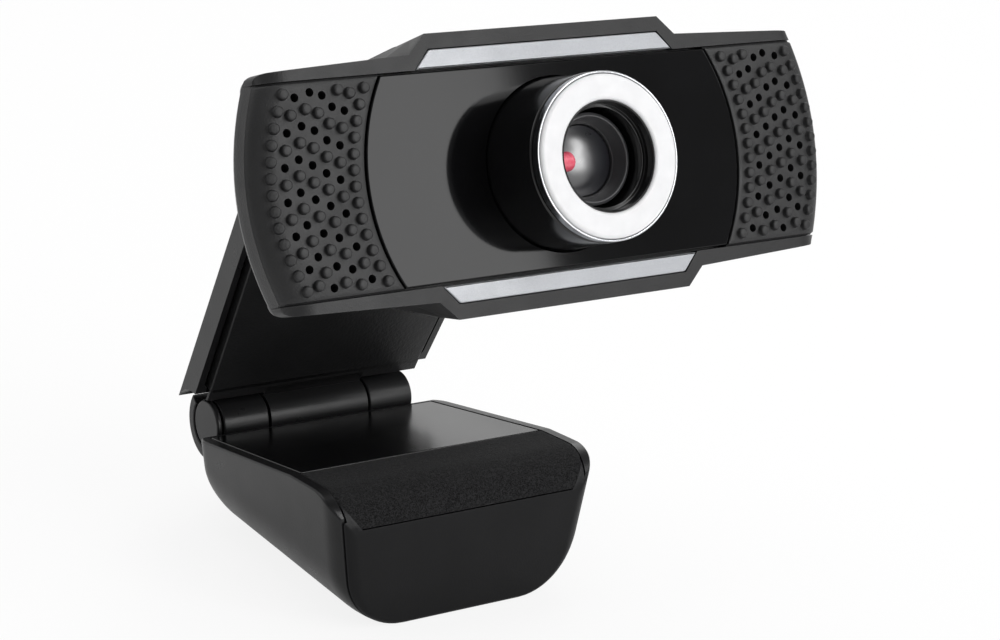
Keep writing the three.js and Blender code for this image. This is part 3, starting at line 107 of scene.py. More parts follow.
BARREL_LENGTH = 10.0
BARREL_BASE_RADIUS = 12.2
BARREL_FRONT_RADIUS = 11.8
BARREL_BORE_RADIUS = 9.0
BARREL_ROOT = 2.0
RING_OUTER_RADIUS = 11.7
RING_BORE_RADIUS = 7.7
RING_STEP_RADIUS = 6.9
RING_STEP_DEPTH = 2.2
RING_FACE_THICKNESS = 1.7
RING_SLEEVE_LENGTH = 7.0
RING_EDGE_WIDTH = 0.35
RING_ROUNDING = 0.7
RING_FRONT = -BARREL_LENGTH - FIT_GAP - RING_FACE_THICKNESS
CELL_RADIUS = 6.45
CELL_RIM_RADIUS = 6.0
CELL_FRONT = RING_FRONT + 4.4
CELL_LENGTH = 12.0
CELL_BORE_RADIUS = 3.0
GLASS_RADIUS = 4.9
GLASS_SEAT = RING_FRONT + 7.1
GLASS_DOME_HEIGHT = 1.15
LED_RADIUS = 1.4
LED_TIP = -3.1
LED_LENGTH = 2.8
LED_DOME = 0.8  # the dome's height as a share of its radius
LED_DEPTH = RING_FRONT + 4.5

HOUSING_DEPTH = 24.3
HOUSING_BACK_HALF_WIDTH = 21.0
HOUSING_BACK_HALF_HEIGHT = 12.0
HOUSING_BACK_SHOULDER = 14.0
HOUSING_BACK_FLANGE = 12.0
HOUSING_BEND_START = 1.6
HOUSING_BEND_END = 0.6
HOUSING_SCREW_X = 36.0
HOUSING_SCREW_Z = 8.5
HOUSING_SCREW_SEAT = 13.0
HOUSING_WALL = 1.8
HOUSING_BORE_DEPTH = 12.0
SCREW_POCKET_RADIUS = 2.2
GROMMET_X = 15.5
GROMMET_HOLE_RADIUS = 3.2

SWIVEL_DEPTH = 31.0
NECK_HEIGHT = 6.5
NECK_LENGTH = 11.6
NECK_EYE_RADIUS = 4.2
NECK_EYE_HEIGHT = 6.4
NECK_BARREL_RADIUS = 4.2
NECK_BARREL_LENGTH = 15.0
NECK_LINK_WIDTH = 7.0
PIN_RADIUS = 1.5
BRACKET_PLATE_THICKNESS = 1.8
BRACKET_HALF_WIDTH = 9.5
BRACKET_HALF_HEIGHT = 9.0
BRACKET_LUG_THICKNESS = 2.4
BRACKET_CORNER_RADIUS = 1.5
BRACKET_SCREW_X = 7.3
BRACKET_SCREW_RADIUS = 1.3
WASHER_THICKNESS = 0.5

ARM_SETBACK = 1.1
ARM_BACK = 6.0
ARM_FOOT_END_HALF_WIDTH = 21.8
ARM_HEAD_END_HALF_WIDTH = 23.2
ARM_PLATE_LENGTH = 51.0
ARM_CORNER_CUT = 5.5
ARM_CORNER_RADIUS = 1.2
ARM_TILT_AXIS = 56.0
ARM_WALL = 1.0
ARM_PLATE_THICKNESS = 2.0
ARM_PLATE_INSET = 2.0
ARM_PLATE_CORNER = 1.0
ARM_RIM_DROP = 0.8
ARM_LUG_THICKNESS = 3.6
ARM_LUG_RADIUS = 4.2
ARM_LUG_ROOT = 8.0
ARM_SCREW_SHARES = (0.35, 0.8)
ARM_SCREW_SPREAD = 0.55
ARM_SCREW_SINK = 0.5
ARM_START = 6.1
ARM_LIP_START = 4.6
ARM_LIP_THICKNESS = 0.5

HINGE_RADIUS = 4.0
HINGE_HALF_LENGTH = 17.9
HINGE_CENTRE_HALF_LENGTH = 9.2
HINGE_CAP_THICKNESS = 1.0
GUARD_INNER = 4.4
GUARD_OUTER = 6.05
GUARD_FRONT_ANGLE = -150
GUARD_TOP_ANGLE = 32.8
GUARD_WINDOW_ANGLE = -28

FOOT_HALF_WIDTH = 24.1
FOOT_LENGTH = 46.5
FOOT_HINGE_Y = 49.5
HINGE_HEIGHT = 15.1
HINGE_CENTRE = (FOOT_HINGE_Y, HINGE_HEIGHT)
FOOT_CORNER_RADIUS = 12.0
FOOT_END_RADIUS = 4.0
FOOT_SIDE_LEAN = math.radians(8.6)
FOOT_HEEL_RADIUS = 7.0
FOOT_TOE_RADIUS = 0.7
FOOT_RIM_RADIUS = 0.35
FOOT_WALL = 1.8
FOOT_CROWDING = 1.6  # crowds the points of the foot's sides towards its lower corners
TOP_BACK_Y = 44.6
TOP_BACK_HEIGHT = 15.0
TOP_FRONT_Y = 14.0
TOP_FRONT_HEIGHT = 21.3
TOP_SLOPE = (TOP_FRONT_HEIGHT - TOP_BACK_HEIGHT) / (TOP_BACK_Y - TOP_FRONT_Y)
TOP_PANEL_THICKNESS = 2.0
NOSE_RADIUS = 6.4
NOSE_CENTRE_HEIGHT = 15.6
NOSE_BACK_ANGLE = 84
NOSE_THICKNESS = 3.2
NOSE_FACE_DEPTH = 0.7
PAD_THICKNESS = 1.0
PAD_FRONT_ANGLE = 166
PAD_END_INSET = 1.95
PAD_SEAM = 0.14
PAD_VOXEL = 0.25
PAD_PILE_SIZE = 0.4
PAD_PILE_DEPTH = 0.07
INSERT_Y = 26.0
INSERT_RADIUS = 5.0
INSERT_BORE_RADIUS = 3.0
INSERT_LOW = 0.2
INSERT_HIGH = 8.2
INSERT_ROOM_HEIGHT = 9.0
THREAD_TURNS = 12
THREAD_START = 0.6
THREAD_PITCH = 0.62
THREAD_DEPTH = 0.28
THREAD_HALF_WIDTH = 0.18
FOOT_SCREW_SEAT = 1.5
WEB_ROOT = 1.0
WEB_DROP = 5.0
FOOT_SCREW_SPOTS = [(x, y) for x in (-13.0, 13.0) for y in (9.0, 36.0)]

MERGE_DISTANCE = 1e-4
CORNER_SHARE = 0.45  # the most of a side that a rounded corner takes up

QUARTER_STEPS = 16
LATHE_STEPS = 128
HINGE_STEPS = 96
ROD_STEPS = 64
HOLE_STEPS = 40
PIN_STEPS = 32
BUMP_STEPS = 24
SOUND_HOLE_STEPS = 20

# ---------------- frames of the moving bodies

RECORD = frame["record"]
JOINTS = {joint["name"]: joint for joint in RECORD["behaviour"]["joints"]}
MOUNTS = {mount["name"]: mount for mount in RECORD["mounts"]}
RIGHT = Vector((1, 0, 0))


def local_frame(origin, back):
    """Millimetres with x right, y along back and z up, to metres in the row's frame."""
    back = Vector(back).normalized()
    turn = Matrix((RIGHT, back, RIGHT.cross(back))).transposed().to_4x4()
    return Matrix.Translation(Vector(origin)) @ turn @ Matrix.Scale(MM, 4)


OPTICAL = Vector(JOINTS["focus_turn"]["axis"])
LENS_FRONT = Vector(JOINTS["focus_turn"]["pos_m"])
HINGE = Vector(JOINTS["clip_hinge"]["pos_m"])
HEAD = local_frame(LENS_FRONT - OPTICAL * RING_FRONT * MM, OPTICAL)
NECK = local_frame(JOINTS["head_tilt"]["pos_m"], OPTICAL)
ARM = local_frame(HINGE, -Vector(MOUNTS["monitor_rest"]["axis"]))
FOOT = local_frame(HINGE - Vector((0, *HINGE_CENTRE)) * MM, (0, 1, 0))
BODY_PLACES = {"foot": FOOT, "arm": ARM, "neck": NECK, "head": HEAD, "ring": HEAD, "lens": HEAD}

# ---------------- outlines


def between(start, end, share):
    return start + (end - start) * share


def quarter(steps):
    """The angles of a quarter turn in equal steps."""
    return [math.pi / 2 * k / steps for k in range(steps + 1)]


def both_sides(near, far, middle=0):
    """The low and high ends of a stretch on either side of a middle."""
    return [sorted((middle + side * near, middle + side * far)) for side in (-1, 1)]


def arc(a, b, radius, start, end, steps):
    """Points of an arc, angles in degrees."""
    turns = [math.radians(start + (end - start) * k / steps) for k in range(steps + 1)]
    return [(a + radius * math.cos(t), b + radius * math.sin(t)) for t in turns]


def rectangle(a, b):
    """The corners between two values of each coordinate."""
    return [(a[0], b[0]), (a[1], b[0]), (a[1], b[1]), (a[0], b[1])]


def mirrored(points):
    return [(-a, b) for a, b in reversed(points)]


def flipped(points):
    return [(a, -b) for a, b in reversed(points)]


def rounded(points, radius, steps=5):
    """The closed outline with each corner replaced by an arc that starts radius before it."""
    result = []
    for k, corner in enumerate(points):
        corner = Vector(corner)
        before = Vector(points[k - 1]) - corner
        after = Vector(points[(k + 1) % len(points)]) - corner
        reach = min(radius, before.length * CORNER_SHARE, after.length * CORNER_SHARE)
        start = corner + before.normalized() * reach
        end = corner + after.normalized() * reach
        for step in range(steps + 1):
            t = step / steps
            result.append(tuple(start * (1 - t) ** 2 + corner * 2 * t * (1 - t) + end * t ** 2))
    return result


def moved_in(points, inset):
    """The closed outline moved in by an inset, corners kept."""
    count = len(points)
    area = sum(points[k - 1][0] * points[k][1] - points[k][0] * points[k - 1][1] for k in range(count))
    side = 1 if area > 0 else -1
    result = []
    for k in range(count):
        here = Vector(points[k])
        before = (here - Vector(points[k - 1])).normalized()
        after = (Vector(points[(k + 1) % count]) - here).normalized()
        first = Vector((-before.y, before.x)) * side
        second = Vector((-after.y, after.x)) * side
        result.append(tuple(here + (first + second) * inset / (1 + first.dot(second))))
    return result


# ---------------- solids, in millimetres

PLACES = {
    "x": lambda a, b, t: (t, a, b),
    "y": lambda a, b, t: (a, t, b),
    "z": lambda a, b, t: (a, b, t),
}


def placed(name, data):
    """A new object in the scene."""
    added = bpy.data.objects.new(name, data)
    bpy.context.collection.objects.link(added)
    return added


def new_solid(points, faces):
    """A solid from points and faces, without doubled or loose points, its faces turned outwards."""
    mesh = bpy.data.meshes.new("solid")
    mesh.from_pydata(points, [], faces)
    work = bmesh.new()
    work.from_mesh(mesh)
    bmesh.ops.remove_doubles(work, verts=work.verts, dist=MERGE_DISTANCE)
    bmesh.ops.recalc_face_normals(work, faces=work.faces)
    loose = [point for point in work.verts if not point.link_faces]
    bmesh.ops.delete(work, geom=loose, context="VERTS")
    work.to_mesh(mesh)
    work.free()
    return placed("solid", mesh)


def loft(sections, axis="y"):
    """A closed solid through (place, outline) sections that have as many points each."""
    place = PLACES[axis]
    count = len(sections[0][1])
    points = [place(a, b, t) for t, outline in sections for a, b in outline]
    faces = []
    for s in range(len(sections) - 1):
        for k in range(count):
            near = s * count + k
            near_next = s * count + (k + 1) % count
            faces.append((near, near_next, near_next + count, near + count))
    faces.append(tuple(range(count)))
    faces.append(tuple(range(len(points) - count, len(points))))
    return new_solid(points, faces)


def prism(outline, axis, low, high):
    return loft([(low, outline), (high, outline)], axis)


def cushioned_prism(outline, axis, low, high, radius, steps=4):
    """A prism with both rims rounded."""
    near = []
    for turn in quarter(steps):
        near.append((low + radius * (1 - math.sin(turn)), moved_in(outline, radius * (1 - math.cos(turn)))))
    far = [(low + high - place, section) for place, section in near]
    return loft(near[::-1] + far, axis)


def block(x, y, z):
    return prism(rectangle(x, y), "z", *z)


def lathe(profile, steps=LATHE_STEPS, centre=(0, 0)):
    """A turned solid about a line along y through centre, from a closed profile of (radius, y)."""
    points = []
    for k in range(steps):
        turn = 2 * math.pi * k / steps
        points += [(centre[0] + r * math.cos(turn), y, centre[1] + r * math.sin(turn)) for r, y in profile]
    count = len(profile)
    faces = []
    for k in range(steps):
        here = k * count
        there = (k + 1) % steps * count
        for s in range(count):
            following = (s + 1) % count
            if profile[s][0] or profile[following][0]:
                faces.append((here + s, here + following, there + following, there + s))
    return new_solid(points, faces)


def circle(centre, radius, steps):
    return arc(*centre, radius, 0, 360 - 360 / steps, steps - 1)


def rod(radius, axis, low, high, centre=(0, 0), steps=ROD_STEPS):
    return prism(circle(centre, radius, steps), axis, low, high)


def soft_rod(radius, axis, low, high, centre, edge):
    return cushioned_prism(circle(centre, radius, HINGE_STEPS), axis, low, high, edge, steps=3)


def screw_pocket(axis, low, high, spot):
    return rod(SCREW_POCKET_RADIUS, axis, low, high, spot, HOLE_STEPS)


def modify(solid, kind, **settings):
    modifier = solid.modifiers.new(kind.lower(), kind)
    for key, value in settings.items():
        setattr(modifier, key, value)


def apply_modifiers(solid):
    evaluated = solid.evaluated_get(bpy.context.evaluated_depsgraph_get())
    mesh = bpy.data.meshes.new_from_object(evaluated)
    solid.modifiers.clear()
    old = solid.data
    solid.data = mesh
    bpy.data.meshes.remove(old)


def combine(solid, others, operation):
    for other in others:
        modify(solid, "BOOLEAN", operation=operation, solver="EXACT", object=other)
    apply_modifiers(solid)
    for other in others:
        bpy.data.objects.remove(other)
    return solid


def cut(solid, *others):
    return combine(solid, others, "DIFFERENCE")


def fuse(solid, *others):
    return combine(solid, others, "UNION")


def overlap(solid, *others):
    return combine(solid, others, "INTERSECT")


def gathered(solids):
    """Several solids in one mesh, left as they are."""
    work = bmesh.new()
    for solid in solids:
        work.from_mesh(solid.data)
        bpy.data.objects.remove(solid)
    mesh = bpy.data.meshes.new("solid")
    work.to_mesh(mesh)
    work.free()
    return placed("solid", mesh)


def bevel(solid, width, segments, angle, **settings):
    limit = {"limit_method": "ANGLE", "angle_limit": math.radians(angle)}
    modify(solid, "BEVEL", width=width, segments=segments, **limit, **settings)


def soften(solid, width, segments=3, angle=38):
    """Rounds the sharp edges."""
    bevel(solid, width, segments, angle, miter_outer="MITER_ARC")
    apply_modifiers(solid)


def sliced(solid, places):
    """Adds edges across x at each place, so that a later bend is smooth."""
    work = bmesh.new()
    work.from_mesh(solid.data)
    for place in places:
        parts = list(work.verts) + list(work.edges) + list(work.faces)
        bmesh.ops.bisect_plane(work, geom=parts, plane_co=(place, 0, 0), plane_no=(1, 0, 0))
    work.to_mesh(solid.data)
    work.free()
    return solid


def finish_piece(solid, name, body, material, nodes, angle=32):
    solid.data.transform(BODY_PLACES[body])
    solid.data.polygons.foreach_set("use_smooth", [True] * len(solid.data.polygons))
    solid.data.set_sharp_from_angle(angle=math.radians(angle))
    solid.name = name
    solid.data.name = name
    solid.data.materials.clear()
    solid.data.materials.append(material)
    modify(solid, "WEIGHTED_NORMAL", keep_sharp=True)
    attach(solid, body)
    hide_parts(*nodes)


# ---------------- materials

WHITE = (1, 1, 1, 1)


class Tree:
    """A node tree, with short ways to add nodes and to feed them."""

    def __init__(self, owner):
        owner.use_nodes = True
        self.nodes = owner.node_tree.nodes
        self.links = owner.node_tree.links

    def feed(self, node, *in_order, **by_name):
        """Gives the node's inputs numbers, colours or sockets, in their order or by their names."""
        values = dict(enumerate(in_order))
        for key, value in by_name.items():
            values[key.replace("_", " ").title().replace("Ior", "IOR")] = value
        for key, value in values.items():
            if isinstance(value, bpy.types.NodeSocket):
                self.links.new(value, node.inputs[key])
            else:
                node.inputs[key].default_value = value
        return node

    def add(self, kind, *in_order, **by_name):
        return self.feed(self.nodes.new("ShaderNode" + kind), *in_order, **by_name)

    def maths(self, operation, first, second):
        node = self.add("Math", first, second)
        node.operation = operation
        return node.outputs[0]

    def blend(self, share, first, second):
        """A shader between two others."""
        return self.add("MixShader", share, first.outputs[0], second.outputs[0]).outputs[0]

    def backdrop_share(self, reflected):
        """1 for camera rays and a share of it, a number or a socket, for glossy and transmitted rays."""
        ray = self.add("LightPath").outputs
        either = self.maths("MAXIMUM", ray["Is Glossy Ray"], ray["Is Transmission Ray"])
        return self.maths("MAXIMUM", ray["Is Camera Ray"], self.maths("MULTIPLY", either, reflected))


class Graph(Tree):
    """A material's node tree, with the object's own coordinates at hand."""

    def __init__(self, name):
        self.material = bpy.data.materials.new(name)
        super().__init__(self.material)
        self.shader = self.nodes["Principled BSDF"]
        self.place = self.add("TexCoord").outputs["Object"]

    def noise(self, size_mm, detail=4.0, stretch=None):
        """Noise with features of about the given size."""
        place = self.place
        if stretch:
            place = self.add("Mapping", vector=place, scale=stretch).outputs["Vector"]
        return self.add("TexNoise", vector=place, scale=1 / (size_mm * MM), detail=detail).outputs["Fac"]

    def cells(self, size_mm):
        return self.add("TexVoronoi", vector=self.place, scale=1 / (size_mm * MM)).outputs["Distance"]

    def spread(self, source, low, high, start=0.3, end=0.7):
        """The source's middle range mapped to low..high."""
        node = self.add("MapRange", value=source, from_min=start, from_max=end, to_min=low, to_max=high)
        return node.outputs["Result"]

    def mix(self, factor, first, second):
        """A colour between two others. Each is a colour or a socket."""
        node = self.nodes.new("ShaderNodeMix")
        node.data_type = "RGBA"
        ends = [end if isinstance(end, bpy.types.NodeSocket) else (*end, 1) for end in (first, second)]
        return self.feed(node, factor=factor, a=ends[0], b=ends[1]).outputs["Result"]

    def clouds(self, size_mm, detail, first, second):
        """Two colours in soft clouds of about the given size."""
        return self.mix(self.spread(self.noise(size_mm, detail), 0, 1), first, second)

    def bump(self, height, depth_mm, strength=1.0, **below):
        """Relief from a height, on top of the relief below if its normal is given."""
        node = self.add("Bump", height=height, distance=depth_mm * MM, strength=strength, **below)
        return node.outputs["Normal"]

    def edges(self, reach_mm=0.3, sharp=0.85, flat=0.98):
        """1 at edges, where the surface turns within a short reach, and 0 elsewhere: the mask for a painted
        highlight along edges.
        """
        bevel = self.add("Bevel", radius=reach_mm * MM)
        bevel.samples = 4
        turn = self.add("VectorMath", bevel.outputs["Normal"], self.add("NewGeometry").outputs["Normal"])
        turn.operation = "DOT_PRODUCT"
        return self.spread(turn.outputs["Value"], 1, 0, sharp, flat)

    def finish(self, **inputs):
        self.feed(self.shader, **inputs)
        return self.material


def scaled(colour, times):
    return [min(1, times * part) for part in colour]


def moulded(name, colour, roughness, specular, grain_mm, depth_mm):
    """Moulded plastic with spark-eroded grain, uneven gloss and a painted highlight that makes its edges a
    little lighter.
    """
    graph = Graph(name)
    tone = graph.clouds(9, 5, colour, scaled(colour, 1.35))
    specks = graph.spread(graph.noise(0.35, 4), 0, 0.4, 0.6, 0.75)
    tone = graph.mix(specks, tone, scaled(colour, 1.4))
    fine = graph.bump(graph.noise(grain_mm, 3), depth_mm)
    return graph.finish(
        # painted highlight: the colour turns lighter along the edges
        base_color=graph.mix(graph.edges(), tone, scaled(colour, 2.2)),
        roughness=graph.spread(graph.noise(5, 6), roughness * 0.9, roughness * 1.1),
        normal=graph.bump(graph.cells(grain_mm * 1.6), depth_mm * 0.7, 0.7, normal=fine),
        specular_ior_level=specular,
    )


def piano_black(name, roughness, specular):
    """Deep gloss with faint smears and hair scratches in the polish."""
    graph = Graph(name)
    smears = graph.noise(11, 7, (1, 0.45, 0.45))
    ripple = graph.bump(graph.noise(16, 2), 0.02, 0.3)
    return graph.finish(
        base_color=graph.clouds(14, 4, (0.0018, 0.0018, 0.002), (0.0035, 0.0035, 0.004)),
        roughness=graph.spread(smears, roughness, 1.6 * roughness, 0.35, 0.75),
        normal=graph.bump(graph.noise(0.35, 2, (1, 0.04, 0.04)), 0.001, 0.2, normal=ripple),
        specular_ior_level=specular,
    )


def satin_silver(name, colour, darker, metallic, roughness):
    """Silver paint with fine metallic flake, a long brushed grain and a painted highlight along its edges.
    """
    graph = Graph(name)
    tone = graph.mix(graph.spread(graph.cells(0.12), 0, 1, 0.1, 0.8), colour, darker)
    streak = graph.spread(graph.noise(0.25, 4, (0.03, 1, 1)), 0, 0.5, 0.3, 0.8)
    tone = graph.mix(streak, tone, darker)
    return graph.finish(
        # painted highlight: the colour turns lighter along the edges
        base_color=graph.mix(graph.edges(), tone, scaled(colour, 1.3)),
        roughness=graph.spread(graph.noise(3, 5), roughness * 0.85, roughness * 1.2),
        normal=graph.bump(graph.noise(0.2, 3, (0.05, 1, 1)), 0.004, 0.5),
        metallic=metallic, coat_weight=0.3, coat_roughness=0.1,
    )


def pearl_paint(name, colour, darker):
    """Smooth pale paint with faint clouds and a fine orange-peel surface."""
    graph = Graph(name)
    return graph.finish(
        base_color=graph.clouds(2.2, 4, colour, darker),
        roughness=graph.spread(graph.noise(3, 5), 0.3, 0.4),
        normal=graph.bump(graph.noise(0.5, 2), 0.004, 0.4),
        specular_ior_level=0.4,
    )


def bright_metal(name, colour, roughness, streak_mm=0.3):
    """Turned or plated metal with fine tool marks and dulled patches."""
    graph = Graph(name)
    return graph.finish(
        base_color=graph.clouds(2.5, 6, colour, scaled(colour, 0.75)),
        roughness=graph.spread(graph.noise(1.2, 6), roughness * 0.7, roughness * 1.5),
        normal=graph.bump(graph.noise(streak_mm, 3, (1, 0.15, 1)), 0.005, 0.4),
        metallic=1.0,
    )


def felt_cloth(name):
    """Short black felt: matted fibres and lighter tufts with a dull sheen."""
    graph = Graph(name)
    fibres = graph.noise(0.2, 8, (1, 1.6, 1))
    tufts = graph.noise(0.5, 6)
    tone = graph.mix(graph.spread(fibres, 0, 1, 0.38, 0.66), (0.002, 0.002, 0.0022), (0.025, 0.025, 0.026))
    return graph.finish(
        base_color=graph.mix(graph.spread(tufts, 0, 0.6, 0.5, 0.68), tone, (0.03, 0.03, 0.031)),
        roughness=graph.spread(tufts, 0.85, 1.0),
        normal=graph.bump(tufts, 0.1, 0.4, normal=graph.bump(fibres, 0.12, 0.9)),
        sheen_weight=0.03, sheen_roughness=0.6, specular_ior_level=0.1,
    )


def coated_glass(name):
    """A dark coated lens with a faint cool bloom."""
    graph = Graph(name)
    return graph.finish(
        base_color=graph.clouds(4, 2, (0.008, 0.009, 0.012), (0.014, 0.014, 0.02)),
        roughness=graph.spread(graph.noise(1.5, 5), 0.27, 0.33),
        coat_weight=0.15, coat_roughness=0.1, specular_ior_level=1.0, ior=1.7,
    )


def red_light(name):
    """A clear red light pipe, softly lit from inside."""
    graph = Graph(name)
    tone = graph.clouds(1.1, 3, (0.7, 0.08, 0.13), (0.8, 0.16, 0.22))
    return graph.finish(
        base_color=tone,
        emission_color=tone,
        roughness=graph.spread(graph.noise(0.6, 4), 0.15, 0.3),
        emission_strength=0.12, coat_weight=0.3,
    )


def circuit_board(name):
    """Green solder resist over copper tracks."""
    graph = Graph(name)
    tracks = graph.spread(graph.noise(1.3, 0.5, (1, 0.4, 1)), 0, 1, 0.49, 0.51)
    return graph.finish(
        base_color=graph.mix(tracks, (0.012, 0.12, 0.045), (0.02, 0.2, 0.07)),
        roughness=graph.spread(graph.noise(3, 4), 0.25, 0.4),
        normal=graph.bump(tracks, 0.03, 0.6),
    )


# name, colour, roughness, specular level, grain size and depth in millimetres
MATT_BLACK = moulded("matt_black", (0.012, 0.012, 0.0125), 0.42, 0.3, 0.22, 0.02)
GRILLE_BLACK = moulded("grille_black", (0.014, 0.014, 0.0145), 0.45, 0.33, 0.2, 0.035)
SATIN_BLACK = moulded("satin_black", (0.009, 0.009, 0.0095), 0.3, 0.28, 0.26, 0.01)
NOSE_BLACK = moulded("nose_black", (0.0055, 0.0055, 0.006), 0.4, 0.16, 0.26, 0.01)
PLATE_BLACK = moulded("plate_black", (0.011, 0.011, 0.0115), 0.45, 0.25, 0.4, 0.03)
BARREL_BLACK = moulded("barrel_black", (0.0045, 0.0045, 0.0048), 0.13, 0.45, 0.4, 0.001)
CELL_BLACK = moulded("cell_black", (0.05, 0.05, 0.053), 0.35, 0.6, 0.3, 0.004)
RUBBER = moulded("soft_rubber", (0.012, 0.012, 0.012), 0.7, 0.2, 0.4, 0.02)
CHIP_BLACK = moulded("chip_black", (0.02, 0.02, 0.022), 0.4, 0.4, 0.2, 0.01)
CONNECTOR_WHITE = moulded("connector_white", (0.36, 0.35, 0.33), 0.45, 0.4, 0.3, 0.01)
# name, roughness, specular level
GLOSS_BLACK = piano_black("gloss_black", 0.055, 0.22)
TOP_GLOSS = piano_black("top_gloss", 0.17, 0.5)
# name, colour, darker colour, metallic share, roughness
SILVER = satin_silver("silver_trim", (0.42, 0.43, 0.45), (0.33, 0.34, 0.36), 0.3, 0.4)
RING_SILVER = pearl_paint("ring_pearl", (0.8, 0.8, 0.81), (0.75, 0.75, 0.76))
# name, colour, roughness, size of the tool marks in millimetres
CHROME = bright_metal("chrome_edge", (0.6, 0.61, 0.63), 0.16, 0.2)
STEEL = bright_metal("plain_steel", (0.52, 0.52, 0.53), 0.3)
BRASS = bright_metal("turned_brass", (0.72, 0.5, 0.2), 0.28)
FELT = felt_cloth("black_felt")
LENS_GLASS = coated_glass("lens_glass")
RED_LIGHT = red_light("red_light")
BOARD_GREEN = circuit_board("board_green")

# ---------------- head: bent front


def end_x(height):
    """The head's half width at a height: its ends bulge."""
    return HEAD_HALF_WIDTH - HEAD_END_BULGE * (height / HEAD_END_HALF_HEIGHT) ** 2


def front_depth(x, height):
    """How far the head's front lies behind its middle: a slight bend, then the rounded end."""
    x = abs(x)
    bend = max(0.0, x - HEAD_FLAT_HALF_WIDTH) ** 2 / (2 * HEAD_FRONT_BEND_RADIUS)
    into_end = min(max(0.0, (x - end_x(height)) / HEAD_EDGE_WIDTH + 1), HEAD_EDGE_END)
    return bend + HEAD_EDGE_DEPTH * (1 - math.sqrt(1 - into_end ** 2))


def front_normal(x, height):
    """The outward normal of the head's front at a spot."""
    step = 0.05
    slope_x = (front_depth(x + step, height) - front_depth(x - step, height)) / (2 * step)
    slope_z = (front_depth(x, height + step) - front_depth(x, height - step)) / (2 * step)
    return Vector((slope_x, -1, slope_z)).normalized()


def bent(solid, fade_depth):
    """Pushes a flat-fronted solid back onto the head's bent front, less and less towards a depth."""
    for vertex in solid.data.vertices:
        x, depth, height = vertex.co
        vertex.co.y = depth + front_depth(x, height) * max(0.0, 1 - depth / fade_depth)
    return solid


def bend_places():
    """Where the head's front needs edges to bend smoothly."""
    wide, wide_count = 1.5, 8
    narrow, narrow_count = 0.35, 21
    gentle = [HEAD_FLAT_HALF_WIDTH + wide * k for k in range(wide_count)]
    end = HEAD_HALF_WIDTH - HEAD_END_BULGE - HEAD_EDGE_WIDTH
    tight = [end + narrow * k for k in range(narrow_count)]
    return [side * place for side in (-1, 1) for place in gentle + tight]


def head_outline(half_width, end_half_height, shoulder, flange):
    """The head seen from the front, clockwise from the top middle."""
    corner = HEAD_CORNER_RADIUS
    steps = 10
    straight = end_half_height - corner
    scale = HEAD_END_BULGE / HEAD_END_HALF_HEIGHT ** 2
    side = half_width - scale * straight ** 2
    upper = [flange, shoulder]
    upper += arc(side - corner, straight, corner, 90, 0, steps=6)
    for k in range(1, steps):
        z = straight - straight * k / steps
        upper.append((half_width - scale * z ** 2, z))
    right = upper + [(half_width, 0)] + flipped(upper)
    return right + mirrored(right)


def panel_edge_x(height):
    radius = (WINDOW_HALF_HEIGHT ** 2 + PANEL_ARC_SAGITTA ** 2) / (2 * PANEL_ARC_SAGITTA)
    return PANEL_HALF_WIDTH - radius + math.sqrt(radius ** 2 - height ** 2)


def trim_outline(inset):
    low = WINDOW_HALF_HEIGHT + inset
    high = WINDOW_HALF_HEIGHT + TRIM_HEIGHT - inset
    return [
        (-TRIM_LONG_HALF_WIDTH + 2 * inset, low),
        (TRIM_LONG_HALF_WIDTH - 2 * inset, low),
        (TRIM_SHORT_HALF_WIDTH - inset, high),
        (-TRIM_SHORT_HALF_WIDTH + inset, high),
    ]


def bezel_section(depth, half_width):
    """The bezel's outline at a depth, its shoulders and flange drawn in towards the back."""
    share = depth / BEZEL_DEPTH
    shoulder = (between(SHOULDER_HALF_WIDTH, SHOULDER_BACK_HALF_WIDTH, share), SHOULDER_HALF_HEIGHT)
    flange = (FLANGE_HALF_WIDTH, between(FLANGE_HALF_HEIGHT, FLANGE_BACK_HALF_HEIGHT, share))
    return depth, head_outline(half_width, HEAD_END_HALF_HEIGHT, shoulder, flange)


def make_bezel():
    far = HEAD_HALF_WIDTH + 2 * PAST
    bezel = loft([
        bezel_section(0, HEAD_HALF_WIDTH),
        bezel_section(BEZEL_WAIST_DEPTH, HEAD_HALF_WIDTH),
        bezel_section(BEZEL_DEPTH, HEAD_BACK_HALF_WIDTH),
    ])
    high = WINDOW_HALF_HEIGHT
    window = block((-far, far), (-PAST, PLATE_THICKNESS + FIT_GAP), (-high, high))
    hole = rod(BARREL_BASE_RADIUS + FIT_GAP, "y", -PAST, BEZEL_DEPTH + PAST)
    trims = (trim_outline(0), flipped(trim_outline(0)))
    cut(bezel, window, hole, *[prism(trim, "y", -PAST, TRIM_THICKNESS + FIT_GAP) for trim in trims])
    bent(sliced(bezel, bend_places()), BEZEL_DEPTH)
    soften(bezel, WIDE_EDGE)
    finish_piece(bezel, "bezel_shell", "head", MATT_BLACK, ["front_bezel"])


def make_panel():
    steps = 40
    half = WINDOW_HALF_HEIGHT - FIT_GAP
    heights = [half - 2 * half * k / steps for k in range(steps + 1)]
    right = [(panel_edge_x(z) - FIT_GAP / 2, z) for z in heights]
    panel = cushioned_prism(right + mirrored(right), "y", 0, PLATE_THICKNESS, THIN_EDGE)
    cut(panel, rod(BARREL_BASE_RADIUS + FIT_GAP, "y", -PAST, PLATE_THICKNESS + PAST, steps=LATHE_STEPS))
    finish_piece(panel, "panel_gloss", "head", GLOSS_BLACK, ["center_panel"])


